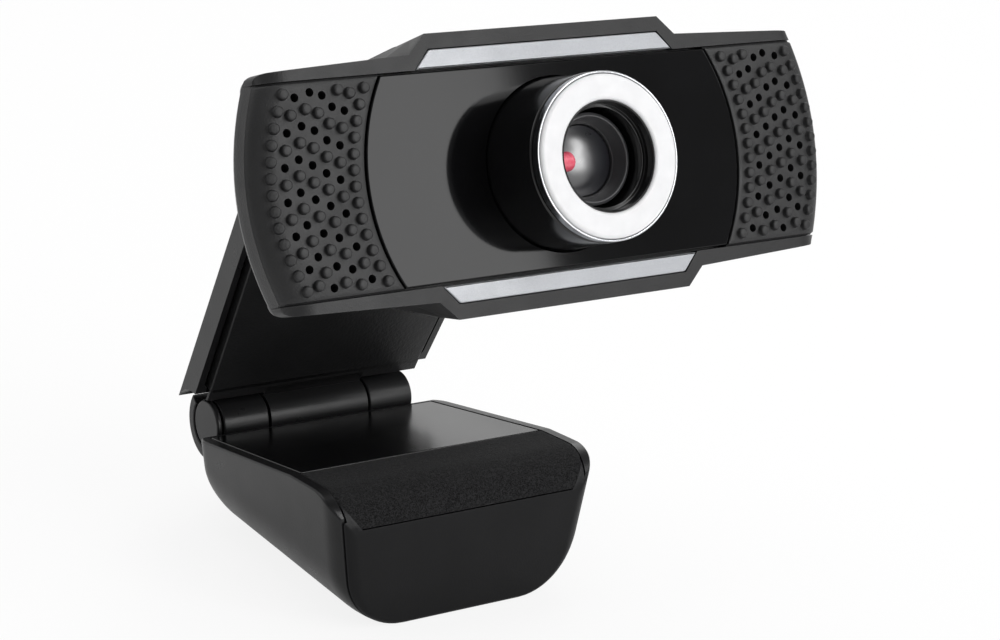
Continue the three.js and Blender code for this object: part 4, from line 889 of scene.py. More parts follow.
def grille_spots():
    """Bumps and sound holes of the right grille: their places and whether each is a hole."""
    spots = []
    half_height = GRILLE_ROW_PITCH * (GRILLE_ROWS - 1) / 2
    for column in range(GRILLE_COLUMNS):
        odd = column % 2
        rows = GRILLE_ROWS - odd
        top = half_height - odd * GRILLE_ROW_PITCH / 4
        outer = column in (0, GRILLE_COLUMNS - 1)
        first_hole = 1 if column < GRILLE_COLUMNS / 2 - 1 else 0
        for row in range(rows):
            z = top * (1 - 2 * row / (rows - 1))
            x = panel_edge_x(z) + GRILLE_MARGIN + GRILLE_COLUMN_PITCH * column
            spots.append((x, z, not outer and row % 2 == first_hole))
    return spots


def plate_layer(inset, depth, rows, columns):
    """One layer of the right grille's plate: a grid on the bent front, its last column on the head's end."""
    points = []
    for r in range(rows + 1):
        z = (WINDOW_HALF_HEIGHT - FIT_GAP - inset) * (1 - 2 * r / rows)
        start = panel_edge_x(z) + FIT_GAP / 2 + max(0.0, inset)
        stop = end_x(z) + END_SKIRT / 2
        for c in range(columns):
            x = start + (stop - start) * (1 - (1 - c / columns) ** PLATE_CROWDING)
            points.append((x, depth + front_depth(x, z), z))
        if depth < PLATE_THICKNESS:
            points.append((stop, depth + front_depth(stop, z), z))
        else:
            points.append((end_x(z) + END_SKIRT, END_SKIRT_DEPTH, z))
    return points


def curved_plate(rows=60, columns=64):
    """The right grille's plate, from a front and a back grid and the rims of the layers between."""
    points = []
    for inset, depth in PLATE_LAYERS:
        points += plate_layer(inset, depth, rows, columns)
    size = (rows + 1) * (columns + 1)
    index = [[r * (columns + 1) + c for c in range(columns + 1)] for r in range(rows + 1)]
    rim = index[0] + [row[-1] for row in index[1:]] + index[-1][-2::-1] + [row[0] for row in index[-2:0:-1]]
    faces = []
    for r in range(rows):
        for c in range(columns):
            quad = (index[r][c], index[r][c + 1], index[r + 1][c + 1], index[r + 1][c])
            faces.append(quad)
            faces.append(tuple(q + size * (len(PLATE_LAYERS) - 1) for q in reversed(quad)))
    for layer in range(len(PLATE_LAYERS) - 1):
        for k in range(len(rim)):
            here = rim[k] + layer * size
            there = rim[(k + 1) % len(rim)] + layer * size
            faces.append((here, there, there + size, here + size))
    return new_solid(points, faces)


def set_on_front(solid, x, z):
    """Moves a solid that stands on the origin along -y onto the bent front."""
    turn = Vector((0, -1, 0)).rotation_difference(front_normal(x, z)).to_matrix().to_4x4()
    solid.data.transform(Matrix.Translation((x, front_depth(x, z), z)) @ turn)
    return solid


def bump_solid():
    """A round peg with a soft upper edge and a slight flare where it meets the plate."""
    flare = BUMP_RADIUS + HAIR
    root = 0.3
    edge = arc(BUMP_RADIUS - BUMP_EDGE, BUMP_EDGE - BUMP_HEIGHT, BUMP_EDGE, 0, -90, steps=5)
    foot = [(0, root), (flare, root), (flare, 0.0), (BUMP_RADIUS + HAIR / 5, -HAIR)]
    return lathe(foot + edge + [(0, -BUMP_HEIGHT)], BUMP_STEPS)


def make_grilles():
    plate = curved_plate()
    holes = []
    bumps = []
    for x, z, is_hole in grille_spots():
        if is_hole:
            hole = rod(SOUND_HOLE_RADIUS, "y", -2 * PAST, 3 * PAST, steps=SOUND_HOLE_STEPS)
            holes.append(set_on_front(hole, x, z))
        else:
            bumps.append(set_on_front(bump_solid(), x, z))
    cut(plate, gathered(holes))
    right = gathered([plate] + bumps)
    left = placed("solid", right.data.copy())
    left.data.transform(Matrix.Scale(-1, 4, RIGHT))
    left.data.flip_normals()
    for solid, side in ((left, "left"), (right, "right")):
        name = f"grille_{side}_bumps"
        finish_piece(solid, name, "head", GRILLE_BLACK, [f"grille_{side}"], angle=40)


def make_trims():
    outline = trim_outline(FIT_GAP / 2)
    for trim, name in ((outline, "top"), (flipped(outline), "bottom")):
        strip = cushioned_prism(rounded(trim, TRIM_CORNER), "y", -TRIM_STAND, TRIM_THICKNESS, TRIM_EDGE)
        finish_piece(strip, f"trim_{name}_satin", "head", SILVER, [f"trim_strip_{name}"])


# ---------------- head: lens


def make_barrel():
    root = PLATE_THICKNESS + FIT_GAP + BARREL_ROOT
    barrel = lathe(rounded([
        (BARREL_BORE_RADIUS, -BARREL_LENGTH),
        (BARREL_FRONT_RADIUS, -BARREL_LENGTH),
        (BARREL_BASE_RADIUS, 0),
        (BARREL_BASE_RADIUS, root),
        (BARREL_BORE_RADIUS, root),
    ], WIDE_EDGE))
    finish_piece(
        barrel, "barrel_sleeve", "head", BARREL_BLACK, ["lens_barrel"], angle=50,
    )


def make_ring():
    back = -BARREL_LENGTH - FIT_GAP
    rim = RING_OUTER_RADIUS - RING_EDGE_WIDTH
    face = lathe(rounded(rectangle((RING_BORE_RADIUS, rim), (RING_FRONT, back)), RING_ROUNDING, steps=10))
    edge_front = RING_FRONT + RING_EDGE_WIDTH
    edge_bore = rim + 0.06
    edge = lathe(rounded(rectangle((edge_bore, RING_OUTER_RADIUS), (edge_front, back)), FINE_EDGE))
    sleeve_back = RING_FRONT + RING_FACE_THICKNESS + RING_SLEEVE_LENGTH
    sleeve_rim = RING_BORE_RADIUS - 0.25
    step_depth = RING_FRONT + RING_STEP_DEPTH
    sleeve = lathe(rounded([
        (sleeve_rim, edge_front),
        (RING_BORE_RADIUS, RING_FRONT + 2 * HAIR),
        (RING_BORE_RADIUS + HAIR / 2, back + HAIR),
        (BARREL_BORE_RADIUS - TURN_GAP, back + HAIR),
        (BARREL_BORE_RADIUS - TURN_GAP, sleeve_back),
        (RING_STEP_RADIUS, sleeve_back),
        (RING_STEP_RADIUS, step_depth),
        (sleeve_rim, step_depth),
    ], FINE_EDGE))
    finish_piece(face, "ring_face", "ring", RING_SILVER, ["focus_ring"], angle=50)
    finish_piece(edge, "ring_edge", "ring", CHROME, ["focus_ring"], angle=50)
    finish_piece(sleeve, "ring_bore", "ring", BARREL_BLACK, ["focus_ring"], angle=50)


def light_notch(gap, outer_gap, inner_gap):
    """The room for the light pipe in a piece of the lens."""
    ends = (-CELL_RADIUS - outer_gap, LED_TIP + inner_gap)
    return rod(LED_RADIUS + gap, "x", *ends, (LED_DEPTH, 0), PIN_STEPS)


def make_cell():
    ledge = GLASS_SEAT - 0.3
    inner = GLASS_RADIUS + 2 * HAIR
    floor = GLASS_SEAT + 1.7
    end = CELL_FRONT + CELL_LENGTH
    cell = lathe(rounded([
        (CELL_RIM_RADIUS, CELL_FRONT),
        (CELL_RADIUS, CELL_FRONT + 2 * HAIR),
        (CELL_RADIUS, end),
        (CELL_BORE_RADIUS, end),
        (CELL_BORE_RADIUS, floor),
        (inner, floor),
        (inner, ledge),
        (inner + HAIR, ledge - HAIR),
        (CELL_RIM_RADIUS - 1.5 * HAIR, CELL_FRONT + HAIR),
    ], FINE_EDGE, steps=3))
    cut(cell, light_notch(gap=0.15, outer_gap=PAST, inner_gap=0.2))
    finish_piece(cell, "cell_barrel", "lens", CELL_BLACK, ["lens_cell"], angle=40)


def make_glass():
    steps = 14
    shares = [k / steps for k in range(steps + 1)]
    dome = [(GLASS_RADIUS * share, GLASS_SEAT - GLASS_DOME_HEIGHT * (1 - share ** 2)) for share in shares]
    back = GLASS_SEAT + 1.6
    front = lathe(dome + [(GLASS_RADIUS, back), (0, back)], HINGE_STEPS)
    cut(front, light_notch(gap=0.1, outer_gap=0, inner_gap=0.15))
    finish_piece(front, "front_glass_dome", "lens", LENS_GLASS, ["lens_front_glass"], angle=30)
    end = CELL_FRONT + CELL_LENGTH
    disc = rectangle((0, CELL_BORE_RADIUS + 0.3), (end - 1.5, end))
    rear = lathe(rounded(disc, 0.2, steps=3), ROD_STEPS)
    finish_piece(rear, "rear_glass_disc", "lens", LENS_GLASS, ["lens_rear_glass"])


def make_led():
    height = LED_RADIUS * LED_DOME
    dome = [(LED_RADIUS * math.sin(turn), height * (math.cos(turn) - 1)) for turn in quarter(8)]
    led = lathe(dome + [(LED_RADIUS, -LED_LENGTH), (0, -LED_LENGTH)], HOLE_STEPS)
    along_x = Matrix.Rotation(math.radians(-90), 4, "Z")
    led.data.transform(Matrix.Translation((LED_TIP, LED_DEPTH, 0)) @ along_x)
    finish_piece(led, "led_light_pipe", "lens", RED_LIGHT, ["activity_led"], angle=40)


# ---------------- head: housing and bracket


def housing_section(share):
    """The housing's place and outline at a share of its depth, from the bezel's back to its own."""
    bend = 1 - (1 - share ** HOUSING_BEND_START) ** HOUSING_BEND_END
    half_width = between(HEAD_BACK_HALF_WIDTH, HOUSING_BACK_HALF_WIDTH, bend)
    half_height = between(HEAD_END_HALF_HEIGHT, HOUSING_BACK_HALF_HEIGHT - 1, bend)
    shoulder = (
        between(SHOULDER_BACK_HALF_WIDTH, HOUSING_BACK_SHOULDER, bend),
        between(SHOULDER_HALF_HEIGHT, HOUSING_BACK_HALF_HEIGHT - 0.5, bend),
    )
    flange = (
        between(FLANGE_HALF_WIDTH, HOUSING_BACK_FLANGE, bend),
        between(FLANGE_BACK_HALF_HEIGHT, HOUSING_BACK_HALF_HEIGHT, bend),
    )
    depth = between(BEZEL_DEPTH + FIT_GAP, HOUSING_DEPTH, share)
    return depth, head_outline(half_width, half_height, shoulder, flange)


def make_housing():
    housing = loft([housing_section(math.sin(turn)) for turn in quarter(24)])
    behind = 30
    wall = HOUSING_DEPTH - 2
    cutters = []
    for x in (-HOUSING_SCREW_X, HOUSING_SCREW_X):
        for z in (-HOUSING_SCREW_Z, HOUSING_SCREW_Z):
            cutters.append(screw_pocket("y", HOUSING_SCREW_SEAT, behind, (x, z)))
    cutters.append(rod(GROMMET_HOLE_RADIUS, "y", wall, behind, (GROMMET_X, 0), HOLE_STEPS))
    for x in (-BRACKET_SCREW_X, BRACKET_SCREW_X):
        cutters.append(rod(BRACKET_SCREW_RADIUS, "y", wall, behind, (x, 0), BUMP_STEPS))
    cutters.append(rod(BARREL_BORE_RADIUS, "y", 0, HOUSING_BORE_DEPTH))
    cut(housing, *cutters)
    soften(housing, SOFT_EDGE, segments=2, angle=45)
    finish_piece(
        housing, "housing_shell", "head", MATT_BLACK, ["rear_housing"], angle=34,
    )


def make_grommet():
    outside = HOUSING_DEPTH + FIT_GAP
    inside = HOUSING_DEPTH - HOUSING_WALL - FIT_GAP
    rim = 1.3
    bore, waist, nose, collar = 1.8, 2.9, 3.4, 3.9
    profile = [
        (bore, inside - rim), (collar, inside - rim), (collar, inside), (waist, inside),
        (waist, outside), (collar, outside), (nose, outside + rim), (bore, outside + rim),
    ]
    grommet = lathe(rounded(profile, SOFT_EDGE, steps=4), ROD_STEPS, (GROMMET_X, 0))
    finish_piece(grommet, "grommet_collar", "head", RUBBER, ["cable_grommet"], angle=40)


def make_bracket():
    front = HOUSING_DEPTH + FIT_GAP
    back = front + BRACKET_PLATE_THICKNESS
    top = BRACKET_HALF_HEIGHT + NECK_HEIGHT / 2
    plate = rectangle((-BRACKET_HALF_WIDTH, BRACKET_HALF_WIDTH), (-BRACKET_HALF_HEIGHT, top))
    bracket = prism(rounded(plate, BRACKET_CORNER_RADIUS), "y", front, back)
    inner = NECK_EYE_HEIGHT / 2 + WASHER_THICKNESS + 2 * FIT_GAP
    outer = inner + BRACKET_LUG_THICKNESS
    root = back - 0.5
    tongue = [(-NECK_EYE_RADIUS, root), (NECK_EYE_RADIUS, root)]
    tongue += arc(0, SWIVEL_DEPTH, NECK_EYE_RADIUS, 0, 180, steps=24)
    fuse(bracket, *[prism(tongue, "z", *ends) for ends in both_sides(inner, outer, NECK_HEIGHT)])
    below, above = -20, 30
    cut(bracket, rod(PIN_RADIUS + FIT_GAP / 2, "z", below, above, (0, SWIVEL_DEPTH), PIN_STEPS))
    soften(bracket, SOFT_EDGE)
    finish_piece(bracket, "bracket_lugs", "head", SATIN_BLACK, ["swivel_bracket"])


def make_neck():
    half = NECK_EYE_HEIGHT / 2
    far = 9
    eye = rod(NECK_EYE_RADIUS, "z", -half, half, (0, -NECK_LENGTH))
    barrel = rod(NECK_BARREL_RADIUS, "x", -NECK_BARREL_LENGTH / 2, NECK_BARREL_LENGTH / 2)
    link = block((-NECK_LINK_WIDTH / 2, NECK_LINK_WIDTH / 2), (-NECK_LENGTH, 0), (-half, half))
    fuse(eye, barrel, link)
    bores = [("x", (0, 0)), ("z", (0, -NECK_LENGTH))]
    cut(eye, *[rod(PIN_RADIUS + FIT_GAP / 2, axis, -far, far, centre, PIN_STEPS) for axis, centre in bores])
    soften(eye, WIDE_EDGE)
    finish_piece(eye, "neck_joint", "neck", SATIN_BLACK, ["neck_link"])


# ---------------- arm


def arm_outline(inset, start):
    top = ARM_PLATE_LENGTH - inset
    right = [
        (ARM_FOOT_END_HALF_WIDTH - inset, start),
        (ARM_HEAD_END_HALF_WIDTH - inset, top - ARM_CORNER_CUT),
        (ARM_HEAD_END_HALF_WIDTH - inset - ARM_CORNER_CUT, top),
    ]
    return right + mirrored(right)


def arm_screw_spots():
    spots = []
    for side in (-1, 1):
        for share in ARM_SCREW_SHARES:
            height = ARM_START + (ARM_PLATE_LENGTH - ARM_START) * share
            spots.append((side * ARM_FOOT_END_HALF_WIDTH * ARM_SCREW_SPREAD, height))
    return spots


def arm_knuckles(rim):
    """What the cover carries: the lugs of the tilt pin, and the middle knuckle of the hinge with its web."""
    half = HINGE_CENTRE_HALF_LENGTH
    lug_in = NECK_BARREL_LENGTH / 2 + TURN_GAP
    root = ARM_PLATE_LENGTH - ARM_LUG_ROOT
    lug = [(rim, root), (ARM_BACK, root)]
    lug += arc((ARM_SETBACK + ARM_BACK) / 2, ARM_TILT_AXIS, ARM_LUG_RADIUS, -30, 210, steps=32)
    added = [prism(lug, "x", *ends) for ends in both_sides(lug_in, lug_in + ARM_LUG_THICKNESS)]
    added.append(rod(HINGE_RADIUS, "x", -half, half, steps=HINGE_STEPS))
    web_end = ARM_START + ARM_WALL
    added.append(block((-half, half), (ARM_SETBACK, ARM_BACK - ARM_WALL), (ARM_SETBACK, web_end)))
    return added


def arm_sweep():
    """The room that the foot's guard needs round the hinge."""
    far = ARM_HEAD_END_HALF_WIDTH + PAST
    return rod(ARM_START, "x", -far, far, steps=HINGE_STEPS)


def make_arm_cover():
    rim = ARM_SETBACK + ARM_RIM_DROP
    plate_back = ARM_SETBACK + ARM_PLATE_THICKNESS
    cover = prism(rounded(arm_outline(0, 0), ARM_CORNER_RADIUS), "y", rim, ARM_BACK)
    well_outline = rounded(arm_outline(ARM_WALL, ARM_START + ARM_WALL), ARM_PLATE_CORNER)
    well = prism(well_outline, "y", rim - PAST, ARM_BACK - ARM_WALL)
    cut(cover, well, arm_sweep())
    fuse(cover, *arm_knuckles(rim))
    pocket_outline = arm_outline(ARM_PLATE_INSET - FIT_GAP, ARM_START - FIT_GAP)
    pocket = prism(pocket_outline, "y", ARM_SETBACK - PAST, plate_back + FIT_GAP)
    seat = ARM_BACK - ARM_SCREW_SINK
    cut(cover, pocket, *[screw_pocket("y", seat, ARM_BACK + PAST, spot) for spot in arm_screw_spots()])
    soften(cover, SOFT_EDGE)
    finish_piece(cover, "arm_cover_shell", "arm", SATIN_BLACK, ["arm_back_cover"])


def make_arm_plate():
    """The arm's front plate, with a thin lip that reaches down to the hinge."""
    outline = rounded(arm_outline(ARM_PLATE_INSET, ARM_START), ARM_PLATE_CORNER)
    plate = cushioned_prism(outline, "y", ARM_SETBACK, ARM_SETBACK + ARM_PLATE_THICKNESS, SOFT_EDGE)
    cut(plate, arm_sweep())
    half = ARM_FOOT_END_HALF_WIDTH - ARM_PLATE_INSET
    depths = (ARM_SETBACK, ARM_SETBACK + ARM_LIP_THICKNESS)
    lip = block((-half, half), depths, (ARM_LIP_START, ARM_START + 1))
    plate = gathered([plate, lip])
    finish_piece(plate, "arm_plate_face", "arm", PLATE_BLACK, ["arm_front_plate"])


# ---------------- foot


def half_width_at(inset, height):
    """Half the foot's width at a height, on its form moved in by an inset."""
    lean = FOOT_SIDE_LEAN
    rise = TOP_FRONT_HEIGHT - FOOT_CORNER_RADIUS
    middle = FOOT_HALF_WIDTH - FOOT_CORNER_RADIUS / math.cos(lean) - rise * math.tan(lean)
    radius = FOOT_CORNER_RADIUS - inset
    if height > radius * (1 - math.sin(lean)):
        return middle + radius / math.cos(lean) + (height - radius) * math.tan(lean)
    return middle + math.sqrt(max(0.0, radius ** 2 - (radius - height) ** 2))


def end_inset(y):
    """How far the foot's sides are moved in at its round upright edges."""
    past = max(0.0, FOOT_END_RADIUS - y, y - FOOT_LENGTH + FOOT_END_RADIUS)
    return FOOT_END_RADIUS - math.sqrt(FOOT_END_RADIUS ** 2 - min(past, FOOT_END_RADIUS) ** 2)


def top_line(y):
    """The foot's height at a distance from its front: the round nose, then the falling top."""
    if y >= TOP_FRONT_Y:
        return TOP_BACK_HEIGHT + TOP_SLOPE * (TOP_BACK_Y - y)
    back_y = NOSE_RADIUS * (1 + math.cos(math.radians(NOSE_BACK_ANGLE)))
    if y < back_y:
        return NOSE_CENTRE_HEIGHT + math.sqrt(max(0.0, NOSE_RADIUS ** 2 - (NOSE_RADIUS - y) ** 2))
    nose_top = NOSE_CENTRE_HEIGHT + NOSE_RADIUS * math.sin(math.radians(NOSE_BACK_ANGLE))
    return nose_top + (TOP_FRONT_HEIGHT - nose_top) * (y - back_y) / (TOP_FRONT_Y - back_y)


def bottom_line(y):
    """The foot's underside: a small round toe and the round heel."""
    toe = max(0.0, FOOT_TOE_RADIUS - y)
    heel = max(0.0, y - FOOT_LENGTH + FOOT_HEEL_RADIUS)
    return (FOOT_TOE_RADIUS - math.sqrt(FOOT_TOE_RADIUS ** 2 - toe ** 2)
            + FOOT_HEEL_RADIUS - math.sqrt(FOOT_HEEL_RADIUS ** 2 - heel ** 2))


def foot_section(y, inset):
    """The foot across at a distance from its front, its upper edges rounded."""
    top = top_line(y)
    floor = bottom_line(y)
    edge = FOOT_RIM_RADIUS
    steps = 26
    sides = end_inset(y) + inset
    right = [(0.5 * half_width_at(sides, 0), floor)]
    for k in range(steps + 1):
        height = (top - edge) * (k / steps) ** FOOT_CROWDING
        right.append((half_width_at(sides, height), floor + height * (1 - floor / (top - edge))))
    side_x = right[-1][0]
    right += arc(side_x - edge, top - edge, edge, 0, 90, steps=4)[1:]
    right.append((side_x * 0.5, top))
    return right + mirrored(right)


def foot_form(inset=0.0):
    """The whole foot's outer form, its sides moved in by an inset."""
    steps = 20
    middle = FOOT_LENGTH - FOOT_HEEL_RADIUS - NOSE_RADIUS
    places = [0.05, FOOT_TOE_RADIUS / 2, FOOT_TOE_RADIUS, TOP_FRONT_Y]
    places += [NOSE_RADIUS * (1 - math.cos(turn)) for turn in quarter(QUARTER_STEPS)]
    places += [NOSE_RADIUS + middle * k / steps for k in range(1, steps + 1)]
    places += [FOOT_LENGTH - FOOT_HEEL_RADIUS * (1 - math.sin(turn)) for turn in quarter(QUARTER_STEPS)[1:]]
    return loft([(y, foot_section(y, inset)) for y in sorted(places)])


def inside_walls(gap, start, stop):
    """The room between the foot's side walls, moved in by a gap, open at the top."""
    inset = FOOT_WALL + gap
    top = TOP_FRONT_HEIGHT + 2 * HEADROOM
    radius = FOOT_CORNER_RADIUS - inset
    heights = [radius * (1 - math.cos(turn)) for turn in quarter(QUARTER_STEPS)[:-1]]
    right = [(half_width_at(inset, height), inset + height) for height in heights]
    right.append((half_width_at(inset, top - inset), top))
    return prism(mirrored(right) + right, "y", start, stop)


def guard_outline(start, end, inner, outer):
    outside = arc(*HINGE_CENTRE, outer, start, end, steps=32)
    return outside + arc(*HINGE_CENTRE, inner, end, start, steps=32)


def hinge_guard(window_half):
    """The foot's guard round the hinge, open in the middle for the arm's knuckle."""
    cap_end = HINGE_HALF_LENGTH + HINGE_CAP_THICKNESS + FIT_GAP
    band = guard_outline(GUARD_FRONT_ANGLE, GUARD_TOP_ANGLE, GUARD_INNER, GUARD_OUTER)
    guard = cushioned_prism(band, "x", -cap_end, HINGE_HALF_LENGTH, THIN_EDGE)
    end = GUARD_TOP_ANGLE + 5
    opening = guard_outline(GUARD_WINDOW_ANGLE, end, GUARD_INNER - PAST, GUARD_OUTER + PAST)
    return cut(guard, prism(opening, "x", -window_half, window_half))


def make_shell():
    far = FOOT_HALF_WIDTH + PAST
    shell = foot_form()
    cutters = [
        inside_walls(0, -PAST, FOOT_LENGTH - FOOT_WALL),
        block((-far, far), (-PAST, NOSE_FACE_DEPTH + FIT_GAP), (-PAST, TOP_FRONT_HEIGHT + HEADROOM)),
        rod(GUARD_INNER, "x", -far, far, HINGE_CENTRE, HINGE_STEPS),
        rod(INSERT_RADIUS + FIT_GAP, "z", -PAST, INSERT_ROOM_HEIGHT, (0, INSERT_Y)),
    ]
    cutters += [screw_pocket("z", -PAST, FOOT_SCREW_SEAT, spot) for spot in FOOT_SCREW_SPOTS]
    cut(shell, *cutters)
    window_half = HINGE_CENTRE_HALF_LENGTH + TURN_GAP
    parts = [shell, hinge_guard(window_half)]
    web = (FOOT_LENGTH - WEB_ROOT, FOOT_HINGE_Y), (HINGE_HEIGHT - WEB_DROP, HINGE_HEIGHT - 1)
    for ends in both_sides(window_half, HINGE_HALF_LENGTH):
        parts.append(soft_rod(HINGE_RADIUS, "x", *ends, HINGE_CENTRE, SOFT_EDGE))
        parts.append(block(ends, *web))
    finish_piece(gathered(parts), "foot_body", "foot", SATIN_BLACK, ["foot_shell"])


def make_hinge_cap():
    inner = -HINGE_HALF_LENGTH - FIT_GAP
    cap = soft_rod(HINGE_RADIUS, "x", inner - HINGE_CAP_THICKNESS, inner, HINGE_CENTRE, WIDE_EDGE)
    finish_piece(cap, "pin_cap", "foot", SATIN_BLACK, ["hinge_pin_cap"])


def nose_line(inset, from_angle=180):
    """The line over the nose seen from the side, moved in by an inset."""
    centre = (NOSE_RADIUS, NOSE_CENTRE_HEIGHT)
    round_nose = arc(*centre, NOSE_RADIUS - inset, from_angle, NOSE_BACK_ANGLE, steps=28)
    return round_nose + [(TOP_FRONT_Y, TOP_FRONT_HEIGHT - inset)]


def nose_band(outer, inner, from_angle):
    """A band over the nose between two insets, right across the foot."""
    far = FOOT_HALF_WIDTH + PAST
    return prism(nose_line(outer, from_angle) + nose_line(inner, from_angle)[::-1], "x", -far, far)


def make_nose():
    """The nose cover: a front face and, between the side walls, a round nose with room for the pad."""
    far = FOOT_HALF_WIDTH + PAST
    high = TOP_FRONT_HEIGHT + HEADROOM
    nose = foot_form()
    walls = block((-far, far), (NOSE_FACE_DEPTH, FOOT_LENGTH + PAST), (-PAST, high))
    cut(walls, inside_walls(FIT_GAP, -PAST, FOOT_LENGTH + 2 * PAST))
    behind = block((-far, far), (TOP_FRONT_Y, FOOT_LENGTH + PAST), (-2 * PAST, high + PAST))
    back = TOP_FRONT_Y + PAST
    hollow = [(back, 0), (back, TOP_FRONT_HEIGHT - NOSE_THICKNESS)]
    hollow += nose_line(NOSE_THICKNESS)[::-1] + [(NOSE_THICKNESS, 0)]
    pad_room = nose_band(-PAST, PAD_THICKNESS + PAD_SEAM, PAD_FRONT_ANGLE + 1)
    overlap(pad_room, foot_form(PAD_END_INSET - PAD_SEAM))
    cut(nose, walls, behind, prism(hollow, "x", -far, far), pad_room)
    finish_piece(nose, "nose_cover_face", "foot", NOSE_BLACK, ["foot_nose_cover"])


def make_pad():
    """Felt glued into the nose's room, its edges soft."""
    pad = overlap(nose_band(0, PAD_THICKNESS, PAD_FRONT_ANGLE), foot_form(PAD_END_INSET))
    pile = bpy.data.textures.new("pile", "CLOUDS")
    pile.noise_scale = PAD_PILE_SIZE
    modify(pad, "REMESH", mode="VOXEL", voxel_size=PAD_VOXEL)
    modify(pad, "SMOOTH", factor=0.5, iterations=4)
    modify(pad, "DISPLACE", texture=pile, strength=PAD_PILE_DEPTH, mid_level=0.5)
    apply_modifiers(pad)
    finish_piece(pad, "felt_pad", "foot", FELT, ["foot_pad"], angle=180)


def make_top_panel():
    front = TOP_FRONT_Y + FIT_GAP
    corners = [(front, 0), (front, TOP_PANEL_THICKNESS), (TOP_BACK_Y, TOP_PANEL_THICKNESS), (TOP_BACK_Y, 0)]
    panel = prism([(y, top_line(y) - drop) for y, drop in corners], "x", -FOOT_HALF_WIDTH, FOOT_HALF_WIDTH)
    overlap(panel, inside_walls(FIT_GAP, 0, FOOT_LENGTH - FOOT_WALL - FIT_GAP))
    soften(panel, THIN_EDGE, segments=4)
    finish_piece(panel, "top_panel_gloss", "foot", TOP_GLOSS, ["foot_top_panel"])


def make_insert():
    upright = Matrix.Translation((0, INSERT_Y, 0)) @ Matrix.Rotation(math.radians(90), 4, "X")
    bore = INSERT_BORE_RADIUS
    profile = rectangle((bore, INSERT_RADIUS), (INSERT_LOW, INSERT_HIGH))
    insert = lathe(rounded(profile, THIN_EDGE, steps=3), HINGE_STEPS)
    insert.data.transform(upright)
    grooves = []
    for k in range(THREAD_TURNS):
        start = THREAD_START + THREAD_PITCH * k
        inside = bore - HAIR
        tip = (bore + THREAD_DEPTH, start + THREAD_HALF_WIDTH)
        groove = lathe([(inside, start), tip, (inside, start + 2 * THREAD_HALF_WIDTH)], ROD_STEPS)
        groove.data.transform(upright)
        grooves.append(groove)
    cut(insert, gathered(grooves))
    finish_piece(insert, "insert_thread", "foot", BRASS, ["tripod_insert"], angle=25)


# ---------------- carried-over nodes

CARRIED = {
    "hinge_pin": STEEL, "tilt_pin": STEEL, "swivel_pin": STEEL,
    "swivel_washer_top": STEEL, "swivel_washer_bottom": STEEL,
    "microphone_left": STEEL, "microphone_right": STEEL,
    "lens_holder": SATIN_BLACK, "image_sensor": CHIP_BLACK,
    "main_board": BOARD_GREEN, "cable_connector": CONNECTOR_WHITE,
}


def dress_carried_nodes():
    """Materials and fine edges for the solids that are shown as they are."""
    for name, node in frame["nodes"].items():
        material = CARRIED.get(name) or (STEEL if "_screw_" in name else None)
        if not material:
            continue
        node.data.materials.clear()
        node.data.materials.append(material)
        bevel(node, FINE_EDGE * MM, segments=2, angle=40)


# ---------------- stage, lights, camera

FLOOR_HALF_SIZE = 6.0
FLOOR_COLOUR = (0.9, 0.9, 0.9, 1)
FLOOR_SHARE = 0.86
REFLECTED_SHARE = 0.35
ROOM_STRENGTH = 0.35
BACKDROP_START = -0.1
BACKDROP_END = 0.7
BACKDROP_REFLECTED = 0.7

LAMP_AIM = Vector((0, 0, 0.05))
LAMP_DISTANCE = 0.9
# azimuth and elevation in degrees, size in metres, radiance
LAMPS = {
    "key": (-69, 22, 0.42, 5.5),
    "right": (-30, 28, 0.3, 3.0),
    "lens": (-57, 41, 0.25, 6.0),
    "left": (150, 35, 0.5, 1.0),
    "back_right": (46, 38, 0.5, 2.5),
    "top": (90, 80, 0.8, 1.5),
}

CAMERA_LENS = 94.17
CAMERA_SENSOR = 36
CAMERA_PLACE = (-0.209675, -0.310779, 0.178648)
CAMERA_TURN = (70.21, -4.74, -33.71)


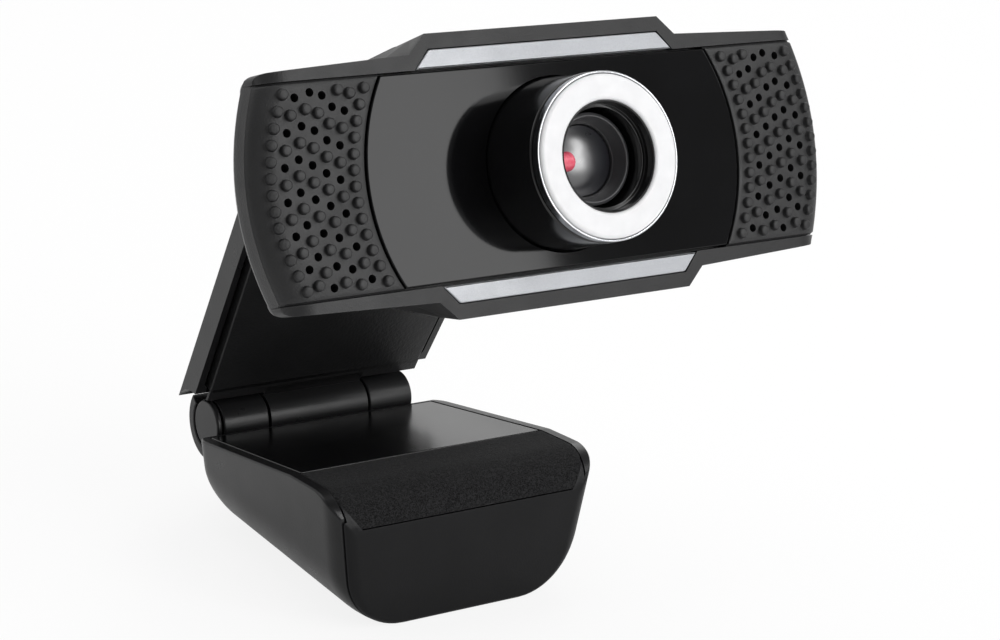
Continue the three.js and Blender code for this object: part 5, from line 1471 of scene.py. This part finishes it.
def make_floor():
    """A pale floor that shows almost white and keeps the object's soft shadow."""
    half = FLOOR_HALF_SIZE
    mesh = bpy.data.meshes.new("floor")
    corners = [(-half, -half, 0), (half, -half, 0), (half, half, 0), (-half, half, 0)]
    mesh.from_pydata(corners, [], [(0, 1, 2, 3)])
    floor = placed("floor", mesh)
    graph = Graph("pale_floor")
    graph.finish(base_color=FLOOR_COLOUR, roughness=0.9, specular_ior_level=0.1)
    share = graph.maths("MULTIPLY", graph.backdrop_share(REFLECTED_SHARE), FLOOR_SHARE)
    surface = graph.blend(share, graph.shader, graph.add("Emission", WHITE))
    graph.feed(graph.nodes["Material Output"], surface)
    mesh.materials.append(graph.material)


def make_world():
    """A white backdrop behind the object and a dimmer room in front of it."""
    world = bpy.data.worlds.new("studio")
    bpy.context.scene.world = world
    tree = Tree(world)
    room = tree.feed(tree.nodes["Background"], WHITE, ROOM_STRENGTH)
    backdrop = tree.add("Background", WHITE, 1.0)
    direction = tree.add("SeparateXYZ", tree.add("TexCoord").outputs["Generated"])
    away = direction.outputs["Y"]
    behind = tree.add("MapRange", away, BACKDROP_START, BACKDROP_END, 0, BACKDROP_REFLECTED)
    behind.interpolation_type = "SMOOTHSTEP"
    share = tree.backdrop_share(behind.outputs["Result"])
    tree.feed(tree.nodes["World Output"], tree.blend(share, room, backdrop))


def make_lamp(name, azimuth, elevation, size, radiance):
    """A square soft box aimed at the object."""
    turn = math.radians(azimuth)
    rise = math.radians(elevation)
    away = Vector((math.cos(rise) * math.cos(turn), math.cos(rise) * math.sin(turn), math.sin(rise)))
    light = bpy.data.lights.new(name, "AREA")
    light.size = size
    light.energy = radiance * math.pi * size ** 2
    lamp = placed(name, light)
    lamp.location = LAMP_AIM + away * LAMP_DISTANCE
    lamp.rotation_euler = (-away).to_track_quat("-Z", "Y").to_euler()


def make_camera():
    camera = bpy.data.cameras.new("camera")
    camera.lens = CAMERA_LENS
    camera.sensor_width = CAMERA_SENSOR
    camera.clip_start = 0.01
    eye = placed("camera", camera)
    eye.location = CAMERA_PLACE
    eye.rotation_euler = [math.radians(turn) for turn in CAMERA_TURN]
    bpy.context.scene.camera = eye


# ---------------- the whole scene

make_camera()
make_bezel()
make_panel()
make_grilles()
make_trims()
make_barrel()
make_ring()
make_cell()
make_glass()
make_led()
make_housing()
make_grommet()
make_bracket()
make_neck()
make_arm_cover()
make_arm_plate()
make_shell()
make_hinge_cap()
make_nose()
make_pad()
make_top_panel()
make_insert()
dress_carried_nodes()
make_floor()
make_world()
for lamp_name, settings in LAMPS.items():
    make_lamp(lamp_name, *settings)
bpy.context.scene.view_settings.view_transform = "Standard"
